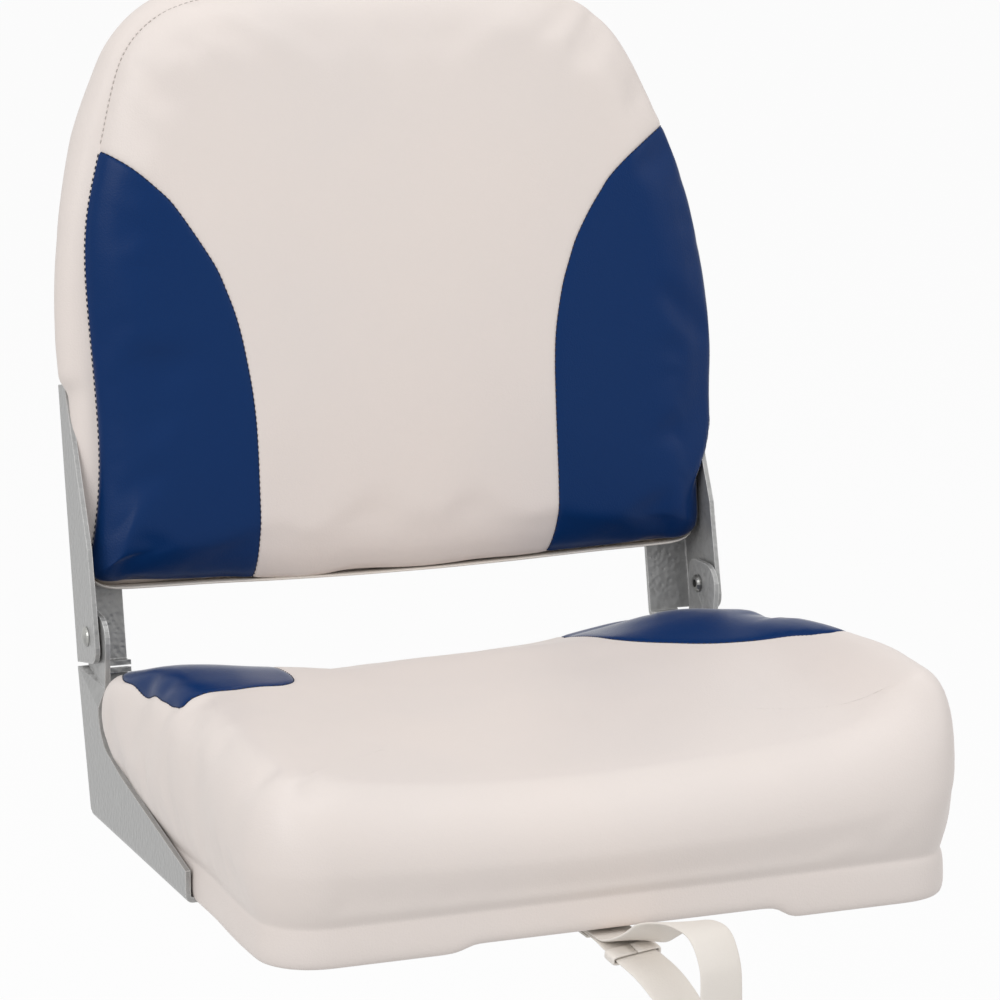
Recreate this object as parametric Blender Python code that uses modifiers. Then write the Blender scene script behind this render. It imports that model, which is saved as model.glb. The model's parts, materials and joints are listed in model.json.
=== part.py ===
"""Folding boat seat: two vinyl cushions joined by a pair of steel fold-down hinges.

The origin is the centre of the four mounting holes, on the underside of the seat pan.
+X is the right side of the seat as it is looked at from the front, -Y is its front, +Z is up.
The backrest is modelled upright in its own frame: local Y runs rearward, local Z runs up the
backrest, and the frame leans back about the hinge rivets.
"""
from math import acos, cos, pi, radians, sin, tan

import bmesh
import bpy
from mathutils import Matrix, Vector

MM = 0.001

# Clearances shared by every piece
GAP = 0.3 * MM
OVERRUN = 6 * MM
MERGE = 0.01 * MM

# Seat cushion, over its vinyl
SEAT_HALF_WIDTH = 200 * MM
SEAT_FRONT_Y = -171 * MM
SEAT_REAR_Y = 169 * MM
SEAT_FRONT_RADIUS = 32 * MM
SEAT_REAR_RADIUS = 46 * MM
SEAT_TOP_Z = 104.5 * MM
SEAT_BULGE = 10 * MM
SEAT_EDGE_ROUND = 30 * MM
BAND_HEIGHT = 27 * MM
CREASE = 2.5 * MM
HEM_WIDTH = 24 * MM
SCOOP_DEPTH = 21.5 * MM
SCOOP_LENGTH = 250 * MM
SCOOP_POWER = 1.5
SCOOP_AT_SIDES = 0.55
REAR_FALL = 31 * MM
REAR_FALL_LENGTH = 115 * MM
BOLSTER_RISE = 24 * MM
VINYL = 1.2 * MM
FOAM_EASE = 0.9 * MM

# Blue vinyl inserts: quarter ellipses that start at the side of each cushion
SEAT_INSERT_WIDTH = 110 * MM
SEAT_INSERT_LENGTH = 190 * MM
INSERT_SETBACK = 6 * MM
SEAT_INSERT_LOW_Z = 66 * MM
BACK_INSERT_WIDTH = 101 * MM
BACK_INSERT_HEIGHT = 166 * MM
BACK_INSERT_BASE = 124 * MM

# Moulded seat pan
PAN_INSET = 9 * MM
PAN_TOP_Z = 26 * MM
PAN_SKIN = 3 * MM
PAN_WALL = 3 * MM
RIB = 2.5 * MM
CELL_PITCH = 37.5 * MM
DECK_HALF = 80 * MM
DECK_FLOOR = 4 * MM
BOSS_RADIUS = 5.6 * MM

# Four-hole pedestal pattern with threaded inserts
BOLT_SQUARE = 127 * MM
INSERT_RADIUS = 5 * MM
INSERT_BORE = 3.3 * MM
INSERT_LENGTH = 13 * MM

# Hinge steelwork
PLATE = 3 * MM
BEND = 4 * MM
BRACKET_ROOM = 5 * MM
RIVET_Y = 174 * MM
RIVET_Z = 111.2 * MM
FLANGE = 31 * MM
BACK_LEAN = radians(10.2)

# Lower bracket, measured from the rivet
LOWER_LEAN = radians(15)
LOWER_REAR = 30.5 * MM
LOWER_TOP = 22.8 * MM
FOOT_REACH = 197 * MM
FOOT_NOSE = 19 * MM
FOOT_SHOULDER = 48 * MM
KNEE_Y = 67 * MM
KNEE_Z = 41.6 * MM
RISER_FRONT = 22 * MM
RISER_FILLET = 24 * MM
EAR_FRONT = 25 * MM
EAR_TOP = 14.5 * MM
EAR_REAR = 14 * MM
JOGGLE_RISE = 1.8 * MM
JOGGLE_DROP = 5 * MM
FOOT_LIFT = 0.3 * MM

# Upper bracket, in the leaning frame of the backrest
UPPER_REAR = 28.5 * MM
UPPER_BOTTOM = 16 * MM
UPPER_TOP = 152 * MM
UPPER_FRONT = 18 * MM
UPPER_WAIST = 52 * MM
UPPER_WAIST_FRONT = 15.5 * MM
UPPER_TIP_WIDTH = 18.5 * MM
UPPER_CORNER = 9 * MM
LIP = 12 * MM
LIP_START = 12 * MM
NOTCH_SLANT = 0.7

# Rivets, washers and screws
WASHER = 1 * MM
WASHER_RADIUS = 11 * MM
RIVET_RADIUS = 4 * MM
RIVET_HEAD = 6.2 * MM
RIVET_DOME = 2.4 * MM
RIVET_TAIL = 5.6 * MM
RIVET_HOLLOW = 2.6 * MM
SCREW_RADIUS = 2 * MM
SCREW_HEAD = 4.3 * MM
SCREW_DOME = 2.2 * MM
SCREW_LENGTH = 15 * MM
SCREW_PITCH = 41 * MM
BACK_SCREW_FIRST = 43 * MM
foot_pitch_share = 0.264
foot_rear_share = 0.3655
FOOT_SCREW_PITCH = FOOT_REACH * foot_pitch_share
FOOT_SCREW_REAR = FOOT_REACH * foot_rear_share
BACK_SCREW_INSET = 5.5 * MM

# Backrest, in its leaning frame
BACK_SEAM_FOOT = 10.2 * MM
BACK_SEAM_TILT = 0.1127
BACK_BOTTOM = 27 * MM
BACK_TOP = 376 * MM
BACK_CROWN = 18 * MM
BACK_BULGE = 9 * MM
BULGE_FULL_DEPTH = 32 * MM
BULGE_RAMP = 35 * MM
SHELL_WALL = 2.5 * MM
SHELL_DEPTH = 10 * MM
SHELL_FLARE = 1.2 * MM
SHELL_ROUND = 5 * MM
TUCK = 3.8 * MM
TUCK_DEPTH = 3.5 * MM
BACK_BOSS_RADIUS = 4.8 * MM
BACK_BOSS_LENGTH = 9 * MM

# Hold-down strap under the front edge
STRAP_WIDTH = 25 * MM
STRAP_THICKNESS = 1.5 * MM
STRAP_X = -6 * MM
STRAP_ROOT = 22 * MM
STRAP_REACH = 90 * MM
KEEPER_WALL = 1.2 * MM
CLAMP_DEPTH = 14 * MM

# Worked-out places that several pieces share
BRACKET_HALF_WIDTH = SEAT_HALF_WIDTH + BRACKET_ROOM
SEAT_INSERT_EDGE_X = SEAT_HALF_WIDTH - INSERT_SETBACK
PAN_BOTTOM = FOOT_LIFT + PLATE + GAP
HEM_Z = PAN_BOTTOM - GAP - VINYL
UPPER_INNER_X = BRACKET_HALF_WIDTH - PLATE
EAR_OUTER_X = UPPER_INNER_X - GAP - WASHER - GAP
EAR_INNER_X = EAR_OUTER_X - PLATE
FLANGE_X = BRACKET_HALF_WIDTH - FLANGE / 2 - PLATE / 2
SHELL_REAR = UPPER_REAR - PLATE - GAP
RIM_FRONT = SHELL_REAR - SHELL_DEPTH
STRAP_TOP_Z = HEM_Z - GAP - STRAP_THICKNESS / 2
STRAP_LOW_Z = STRAP_TOP_Z - STRAP_THICKNESS - GAP
STRAP_SCREW_Y = SEAT_FRONT_Y + STRAP_ROOT
HINGE = Vector((0, RIVET_Y, RIVET_Z))

WHITE = (0.78, 0.74, 0.69, 1)
BLUE = (0.016, 0.047, 0.165, 1)
GREY = (0.36, 0.36, 0.35, 1)


def clear_scene():
    for old in list(bpy.data.objects):
        bpy.data.objects.remove(old, do_unlink=True)


def new_collection(name, hidden=False):
    made = bpy.data.collections.new(name)
    bpy.context.scene.collection.children.link(made)
    made.hide_render = hidden
    return made


def material(name, colour, roughness, metallic=0.0):
    made = bpy.data.materials.new(name)
    made.use_nodes = True
    shader = made.node_tree.nodes["Principled BSDF"]
    shader.inputs["Base Color"].default_value = colour
    shader.inputs["Roughness"].default_value = roughness
    shader.inputs["Metallic"].default_value = metallic
    made.diffuse_color = colour
    return made


def add_mesh(name, bm, parent=None, guide=False):
    """Turns a bmesh into an object of the seat, or into a hidden cutter."""
    bmesh.ops.recalc_face_normals(bm, faces=bm.faces)
    mesh = bpy.data.meshes.new(name)
    bm.to_mesh(mesh)
    bm.free()
    made = bpy.data.objects.new(name, mesh)
    made.parent = parent
    if guide:
        CUTTERS.objects.link(made)
        made.hide_render = True
        made.display_type = "WIRE"
    else:
        SEAT.objects.link(made)
    return made


def finish(made, look, smooth_angle=radians(35)):
    """Gives a piece its material and its smooth shading."""
    made.data.materials.clear()
    made.data.materials.append(look)
    made.data.shade_smooth()
    made.data.set_sharp_from_angle(angle=smooth_angle)
    return made


def evaluated(made):
    """Mesh of an object with its modifiers applied, in its own space."""
    bpy.context.view_layer.update()
    graph = bpy.context.evaluated_depsgraph_get()
    return bpy.data.meshes.new_from_object(made.evaluated_get(graph))


def boolean(made, cutter, operation="DIFFERENCE"):
    step = made.modifiers.new(cutter.name, "BOOLEAN")
    step.object = cutter
    step.operation = operation
    step.solver = "EXACT"


def box_into(bm, low, high):
    """Adds a box between two corners to a bmesh."""
    low = Vector(low)
    high = Vector(high)
    place = Matrix.Translation((low + high) / 2) @ Matrix.Diagonal((*(high - low), 1))
    bmesh.ops.create_cube(bm, size=1, matrix=place)


def box(name, low, high, parent=None, guide=False):
    bm = bmesh.new()
    box_into(bm, low, high)
    return add_mesh(name, bm, parent, guide)


def post_into(bm, foot, axis, radius, length, segments=16, tip_radius=None):
    """Adds a cylinder, or a cone, that stands on a foot point along an axis."""
    axis = Vector(axis).normalized()
    turn = axis.to_track_quat("Z", "Y").to_matrix().to_4x4()
    place = Matrix.Translation(Vector(foot) + axis * length / 2) @ turn
    tip = radius if tip_radius is None else tip_radius
    bmesh.ops.create_cone(bm, cap_ends=True, segments=segments, radius1=radius, radius2=tip,
                          depth=length, matrix=place)


def turned_mesh(profile, steps):
    """Mesh of a profile of (radius, height) points turned about Z."""
    bm = bmesh.new()
    points = [bm.verts.new((radius, 0, height)) for radius, height in profile]
    for first, second in zip(points, points[1:]):
        bm.edges.new((first, second))
    if profile[0][0] > 0:
        bm.edges.new((points[-1], points[0]))
    mesh = bpy.data.meshes.new("profile")
    bm.to_mesh(mesh)
    bm.free()
    lathe = bpy.data.objects.new("lathe", mesh)
    CUTTERS.objects.link(lathe)
    screw = lathe.modifiers.new("turn", "SCREW")
    screw.steps = steps
    screw.render_steps = steps
    screw.use_merge_vertices = True
    screw.merge_threshold = MERGE
    turned = evaluated(lathe)
    bpy.data.objects.remove(lathe)
    return turned


def placed(name, mesh, place, look, parent=None):
    """Object that shows a shared mesh at a place of its own."""
    made = bpy.data.objects.new(name, mesh)
    made.parent = parent
    made.matrix_local = place
    SEAT.objects.link(made)
    return finish(made, look)


def prism(name, outline, place, low, high, parent=None, guide=False):
    """Solid between two heights on a flat outline drawn as a filled 2D curve."""
    curve = bpy.data.curves.new(name, "CURVE")
    curve.dimensions = "2D"
    curve.fill_mode = "BOTH"
    curve.extrude = (high - low) / 2
    spline = curve.splines.new("POLY")
    spline.points.add(len(outline) - 1)
    for point, (across, along) in zip(spline.points, outline):
        point.co = (across, along, 0, 1)
    spline.use_cyclic_u = True
    drawn = bpy.data.objects.new(name + "_outline", curve)
    CUTTERS.objects.link(drawn)
    mesh = evaluated(drawn)
    bpy.data.objects.remove(drawn)
    bm = bmesh.new()
    bm.from_mesh(mesh)
    bmesh.ops.remove_doubles(bm, verts=bm.verts, dist=MERGE)
    bmesh.ops.transform(bm, matrix=place @ Matrix.Translation((0, 0, (low + high) / 2)),
                        verts=bm.verts)
    return add_mesh(name, bm, parent, guide)


def arc(centre, radius, start, stop, steps):
    """Points on an arc, its angles in degrees."""
    angles = [radians(start + (stop - start) * step / steps) for step in range(steps + 1)]
    return [(centre[0] + radius * cos(turn), centre[1] + radius * sin(turn)) for turn in angles]


def offset_outline(outline, distance):
    """Moves a closed outline outward along the normals at its points."""
    moved = []
    count = len(outline)
    for index, point in enumerate(outline):
        ahead = Vector(outline[(index + 1) % count])
        behind = Vector(outline[index - 1])
        along = (ahead - behind).normalized()
        moved.append((point[0] + along.y * distance, point[1] - along.x * distance))
    return moved


def seat_outline(inset=0.0, steps=2, plain=False):
    """Counterclockwise plan of the seat, with straight sides and round corners; a plain one has
    no points along its straight sides."""
    half = SEAT_HALF_WIDTH - inset
    front = SEAT_FRONT_Y + inset
    rear = SEAT_REAR_Y - inset
    front_radius = SEAT_FRONT_RADIUS - inset
    rear_radius = SEAT_REAR_RADIUS - inset
    middle = (front + rear) / 2
    corners = (
        ((half - front_radius, front + front_radius), front_radius, -90),
        ((half - rear_radius, rear - rear_radius), rear_radius, 0),
        ((-half + rear_radius, rear - rear_radius), rear_radius, 90),
        ((-half + front_radius, front + front_radius), front_radius, 180),
    )
    sides = [(0, front), (half, middle), (0, rear), (-half, middle)]
    outline = []
    for side, (centre, radius, start) in zip(sides, corners):
        outline += [] if plain else [side]
        outline += arc(centre, radius, start, start + 90, steps)
    return outline


def seat_top(across, along):
    """Height of the seat's top: scooped at the front, dished in the middle, falling behind."""
    from_front = max(along - SEAT_FRONT_Y, 0)
    from_rear = max(SEAT_REAR_Y - along, 0)
    scoop = SCOOP_DEPTH * max(0, 1 - from_front / SCOOP_LENGTH) ** SCOOP_POWER
    fall = REAR_FALL * max(0, 1 - from_rear / REAR_FALL_LENGTH) ** 2
    share = min(abs(across) / SEAT_HALF_WIDTH, 1)
    scoop *= 1 - (1 - SCOOP_AT_SIDES) * share ** 4
    return SEAT_TOP_Z - scoop - fall + BOLSTER_RISE * share ** 3


def ring(bm, outline, height):
    """Ring of vertices over an outline; the height is a value or a function of the place."""
    made = []
    for across, along in outline:
        level = height(across, along) if callable(height) else height
        made.append(bm.verts.new((across, along, level)))
    return made


def bridge(bm, rings):
    for lower, upper in zip(rings, rings[1:]):
        count = len(lower)
        for index in range(count):
            after = (index + 1) % count
            bm.faces.new((lower[index], lower[after], upper[after], upper[index]))


def scaled(outline, share):
    middle = (SEAT_FRONT_Y + SEAT_REAR_Y) / 2
    return [(across * share, middle + (along - middle) * share) for across, along in outline]


def seat_upper_rings(bm):
    """Cage rings of the seat cushion from the crease above the hem band to the top."""
    crown_shares = (0.76, 0.4)
    side = SEAT_TOP_Z - SEAT_EDGE_ROUND
    rings = [
        ring(bm, offset_outline(seat_outline(), -CREASE), BAND_HEIGHT),
        ring(bm, offset_outline(seat_outline(), SEAT_BULGE / 2), BAND_HEIGHT + SEAT_EDGE_ROUND / 3),
        ring(bm, offset_outline(seat_outline(), SEAT_BULGE),
             lambda x, y: seat_top(x, y) - SEAT_EDGE_ROUND),
        ring(bm, offset_outline(seat_outline(), -SEAT_BULGE / 2),
             lambda x, y: seat_top(x, y) - SEAT_EDGE_ROUND / 10),
    ]
    for share in crown_shares:
        rings.append(ring(bm, scaled(seat_outline(), share), seat_top))
    bridge(bm, rings)
    middle = (SEAT_FRONT_Y + SEAT_REAR_Y) / 2
    crown = bm.verts.new((0, middle, seat_top(0, middle)))
    last = rings[-1]
    for index, vertex in enumerate(last):
        bm.faces.new((vertex, last[(index + 1) % len(last)], crown))
    return rings


def set_crease(bm, vertices):
    layer = bm.edges.layers.float.new("crease_edge")
    chosen = set(vertices)
    for edge in bm.edges:
        if edge.verts[0] in chosen and edge.verts[1] in chosen:
            edge[layer] = 1.0


def seat_cover_skin(name, guide=False):
    """Vinyl skin of the seat: it runs over the pan's rim and is hemmed underneath."""
    bm = bmesh.new()
    rings = seat_upper_rings(bm)
    hem = ring(bm, offset_outline(seat_outline(), -HEM_WIDTH), HEM_Z)
    corner = ring(bm, offset_outline(seat_outline(), -GAP), HEM_Z)
    band = ring(bm, seat_outline(), BAND_HEIGHT - CREASE)
    bridge(bm, [hem, corner, band, rings[0]])
    set_crease(bm, corner + hem)
    skin = add_mesh(name, bm, guide=guide)
    soften(skin)
    thicken(skin)
    return skin


def soften(made, levels=1):
    smooth = made.modifiers.new("soften", "SUBSURF")
    smooth.levels = levels
    smooth.render_levels = levels


def thicken(made):
    wall = made.modifiers.new("vinyl", "SOLIDIFY")
    wall.thickness = VINYL
    wall.offset = -1
    wall.use_even_offset = False


def shrink(made, distance):
    step = made.modifiers.new("inside the vinyl", "DISPLACE")
    step.mid_level = 0
    step.strength = -distance


def seat_insert_outline(side, grow):
    """Blue insert of the seat: a quarter ellipse from the rear corner to the tip in front."""
    wide = SEAT_INSERT_WIDTH + grow
    long = SEAT_INSERT_LENGTH + grow
    outer = SEAT_INSERT_EDGE_X + grow
    centre = SEAT_INSERT_EDGE_X + SEAT_BULGE
    behind = SEAT_REAR_Y + SEAT_EDGE_ROUND
    rear = SEAT_REAR_Y + SEAT_BULGE
    stop = acos((centre - outer) / wide)
    steps = 12
    points = [(outer, behind), (centre - wide, behind)]
    for step in range(steps + 1):
        turn = stop * step / steps
        points.append((centre - wide * cos(turn), rear - long * sin(turn)))
    return [(side * across, along) for across, along in points]


def insert_cutter(name, outline, low, high, parent=None, place=Matrix.Identity(4)):
    return prism(name, outline, place, low, high, parent, guide=True)


def foot_notch(side, word):
    """Cutter that opens the hem where a bracket's foot flange runs under the pan."""
    inner = BRACKET_HALF_WIDTH - FLANGE - GAP
    outer = BRACKET_HALF_WIDTH + OVERRUN
    front = RIVET_Y - FOOT_REACH - GAP
    return box("foot_notch_" + word, (min(side * inner, side * outer), front, -OVERRUN),
               (max(side * inner, side * outer), SEAT_REAR_Y + OVERRUN, PAN_BOTTOM), guide=True)


def make_seat_covers(white, blue):
    """White seat cover with a window for each blue insert, and the two inserts."""
    cover = finish(seat_cover_skin("seat_cover"), white)
    above = SEAT_TOP_Z + BOLSTER_RISE + OVERRUN
    for side, word in ((-1, "left"), (1, "right")):
        window = insert_cutter("seat_window_" + word, seat_insert_outline(side, GAP / 2),
                               SEAT_INSERT_LOW_Z - GAP / 2, above)
        panel_shape = insert_cutter("seat_insert_" + word, seat_insert_outline(side, -GAP / 2),
                                    SEAT_INSERT_LOW_Z + GAP / 2, above)
        boolean(cover, window)
        boolean(cover, foot_notch(side, word))
        panel = finish(seat_cover_skin("seat_panel_" + word), blue)
        boolean(panel, panel_shape, "INTERSECT")
    return cover


def make_seat_foam(foam_look):
    bm = bmesh.new()
    rings = seat_upper_rings(bm)
    bm.faces.new(list(reversed(rings[0])))
    foam = add_mesh("seat_foam", bm)
    set_hard_base(foam)
    soften(foam)
    shrink(foam, VINYL + FOAM_EASE)
    below = box("under_foam", (-SEAT_HALF_WIDTH - OVERRUN, SEAT_FRONT_Y - OVERRUN, -OVERRUN),
                (SEAT_HALF_WIDTH + OVERRUN, SEAT_REAR_Y + OVERRUN, PAN_TOP_Z + GAP), guide=True)
    boolean(foam, below)
    return finish(foam, foam_look)


def set_hard_base(made):
    """Keeps the flat base of a foam block sharp while its sides are softened."""
    bm = bmesh.new()
    bm.from_mesh(made.data)
    layer = bm.edges.layers.float.new("crease_edge")
    base = min(vertex.co.z for vertex in bm.verts)
    for edge in bm.edges:
        if all(vertex.co.z < base + GAP for vertex in edge.verts):
            edge[layer] = 1.0
    bm.to_mesh(made.data)
    bm.free()


def cell_spans(low, high):
    """Start and end of each pan cell between two walls, with a rib between neighbours."""
    count = max(1, round((high - low) / CELL_PITCH))
    pitch = (high - low + RIB) / count
    return [(low + pitch * index, low + pitch * (index + 1) - RIB) for index in range(count)]


def insert_places():
    half = BOLT_SQUARE / 2
    return [Vector((sx * half, sy * half, 0)) for sx in (-1, 1) for sy in (-1, 1)]


def foot_screw_places():
    """Three screws up through each foot flange, measured from the rivet."""
    rear = RIVET_Y - FOOT_SCREW_REAR
    return [Vector((side * FLANGE_X, rear - FOOT_SCREW_PITCH * index, FOOT_LIFT))
            for side in (-1, 1) for index in range(3)]


def clipped(outline, limits):
    """Part of a polygon that lies inside a convex counterclockwise outline."""
    for start, stop in zip(limits, limits[1:] + limits[:1]):
        along = Vector(stop) - Vector(start)
        sides = [along.cross(Vector(point) - Vector(start)) for point in outline]
        kept = []
        for index, point in enumerate(outline):
            before = sides[index - 1]
            here = sides[index]
            if (before < 0) != (here < 0):
                part = before / (before - here)
                kept.append(tuple(Vector(outline[index - 1]).lerp(Vector(point), part)))
            if here >= 0:
                kept.append(point)
        outline = kept
    return outline


def prism_into(bm, outline, low, high):
    """Adds an upright prism on a polygon to a bmesh."""
    base = [bm.verts.new((across, along, low)) for across, along in outline]
    top = [bm.verts.new((across, along, high)) for across, along in outline]
    bridge(bm, [base, top])
    bm.faces.new(base)
    bm.faces.new(top)


def pan_cells():
    """Plans of the open cells between the ribs, around the deck and inside the rim."""
    edge = SEAT_HALF_WIDTH
    columns = cell_spans(-edge, -DECK_HALF - RIB) + cell_spans(-DECK_HALF, DECK_HALF)
    columns += cell_spans(DECK_HALF + RIB, edge)
    rows = cell_spans(SEAT_FRONT_Y, -DECK_HALF - RIB) + cell_spans(-DECK_HALF, DECK_HALF)
    rows += cell_spans(DECK_HALF + RIB, SEAT_REAR_Y)
    limits = seat_outline(PAN_INSET + PAN_WALL, 6, True)
    plans = []
    for left, right in columns:
        for front, rear in rows:
            over_deck = -DECK_HALF <= left < DECK_HALF and -DECK_HALF <= front < DECK_HALF
            corners = [(left, front), (right, front), (right, rear), (left, rear)]
            plan = [] if over_deck else clipped(corners, limits)
            if len(plan) > 2:
                plans.append(plan)
    return plans


def pan_screw_places():
    return foot_screw_places() + [Vector((STRAP_X, STRAP_SCREW_Y, 0))]


def make_seat_pan(plastic):
    """Moulded pan: a skin on a rim and a grid of ribs, with a deck for the pedestal."""
    pan = prism("seat_pan", seat_outline(PAN_INSET, 6, True), Matrix.Identity(4), PAN_BOTTOM, PAN_TOP_Z)
    deck_top = PAN_TOP_Z - PAN_SKIN / 2
    deck = box("deck", (-DECK_HALF, -DECK_HALF, 0), (DECK_HALF, DECK_HALF, deck_top), guide=True)
    boolean(pan, deck, "UNION")

    bm = bmesh.new()
    for plan in pan_cells():
        prism_into(bm, plan, -OVERRUN, PAN_TOP_Z - PAN_SKIN)
    boolean(pan, add_mesh("pan_cells", bm, guide=True))

    bm = bmesh.new()
    spans = cell_spans(-DECK_HALF + PAN_WALL, DECK_HALF - PAN_WALL)
    last = len(spans) - 1
    for column, (left, right) in enumerate(spans):
        for row, (front, rear) in enumerate(spans):
            if not (column in (0, last) and row in (0, last)):
                box_into(bm, (left, front, DECK_FLOOR), (right, rear, PAN_TOP_Z + OVERRUN))
    boolean(pan, add_mesh("deck_cells", bm, guide=True))

    bm = bmesh.new()
    low = PAN_BOTTOM + GAP
    for place in pan_screw_places():
        post_into(bm, (place.x, place.y, low), (0, 0, 1), BOSS_RADIUS, deck_top - low)
    boolean(pan, add_mesh("pan_bosses", bm, guide=True), "UNION")

    bm = bmesh.new()
    for place in insert_places():
        post_into(bm, place - Vector((0, 0, OVERRUN)), (0, 0, 1), INSERT_RADIUS + GAP,
                  OVERRUN + INSERT_LENGTH + 2 * GAP)
    for place in pan_screw_places():
        post_into(bm, (place.x, place.y, -OVERRUN), (0, 0, 1), SCREW_RADIUS + GAP,
                  OVERRUN + PAN_TOP_Z - PAN_SKIN - GAP, segments=12)
    boolean(pan, add_mesh("pan_holes", bm, guide=True))
    return finish(pan, plastic)


def make_mount_inserts(brass):
    """Threaded brass inserts, open at both ends."""
    profile = [(INSERT_BORE, GAP), (INSERT_BORE, INSERT_LENGTH + GAP),
               (INSERT_RADIUS, INSERT_LENGTH + GAP), (INSERT_RADIUS, GAP)]
    mesh = turned_mesh(profile, 16)
    for index, place in enumerate(insert_places()):
        placed(f"mount_insert_{index + 1}", mesh, Matrix.Translation(place), brass)


def bend_edge(bm, edge, outward, inward, steps=4):
    """Turns a strip of sheet through a right angle off an edge; returns its new edge."""
    start = [vertex.co.copy() for vertex in edge]
    for step in range(1, steps + 1):
        turn = pi / 2 * step / steps
        move = outward * BEND * sin(turn) + inward * BEND * (1 - cos(turn))
        after = [bm.verts.new(point + move) for point in start]
        bm.faces.new((edge[0], edge[1], after[1], after[0]))
        edge = after
    return edge


def run_on(bm, edge, move, notch=0.0):
    """Runs sheet straight on from an edge; a slanted notch shortens the new edge."""
    first, second = edge
    far_first = bm.verts.new(first.co + move * (NOTCH_SLANT if notch else 1))
    far_second = bm.verts.new(second.co + move)
    corners = [first, second, far_second, far_first]
    start = far_first
    if notch:
        along = (second.co - first.co).normalized()
        start = bm.verts.new(first.co + move + along * notch)
        corners.insert(3, start)
    bm.faces.new(corners)
    return start, far_second


def rear_flange(bm, edge, outward, end, forward, notch=0.0):
    """Flange behind a side plate, with a stop lip bent forward at the edge's first end."""
    inward = Vector((-1, 0, 0))
    edge = bend_edge(bm, edge, outward, inward)
    near = run_on(bm, edge, inward * (LIP_START - BEND), notch)
    far = run_on(bm, near, inward * (FLANGE - LIP_START))
    lip = bend_edge(bm, (far[0], near[0]), end, forward)
    run_on(bm, lip, forward * (LIP - BEND))


def sheet(name, bm, side, parent=None):
    """Gives a bracket's outer surface its plate thickness, mirrored for the left side."""
    bmesh.ops.recalc_face_normals(bm, faces=bm.faces)
    widest = max(bm.faces, key=lambda face: face.calc_area())
    if widest.normal.x < 0:
        bmesh.ops.reverse_faces(bm, faces=bm.faces)
    mesh = bpy.data.meshes.new(name)
    bm.to_mesh(mesh)
    bm.free()
    plain = bpy.data.objects.new(name + "_sheet", mesh)
    CUTTERS.objects.link(plain)
    wall = plain.modifiers.new("plate", "SOLIDIFY")
    wall.thickness = PLATE
    wall.offset = -1
    wall.use_even_offset = True
    solid = evaluated(plain)
    bpy.data.objects.remove(plain)
    bm = bmesh.new()
    bm.from_mesh(solid)
    if side < 0:
        bmesh.ops.transform(bm, matrix=Matrix.Diagonal((-1, 1, 1, 1)), verts=bm.verts)
    return add_mesh(name, bm, parent)


def lower_rear(height):
    """Rear face of the lower bracket at a height below the rivet, along Y from the rivet."""
    return LOWER_REAR / cos(LOWER_LEAN) - tan(LOWER_LEAN) * height


def stop_notch():
    """How far below the plate's top the lower lip starts, so the two lips lie face to face."""
    stop = UPPER_BOTTOM + BEND + GAP
    rise = tan(LOWER_LEAN) * sin(BACK_LEAN) + cos(BACK_LEAN)
    depth = (stop + lower_rear(0) * sin(BACK_LEAN)) / rise
    return (depth - LOWER_TOP) / cos(LOWER_LEAN) + BEND


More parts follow.
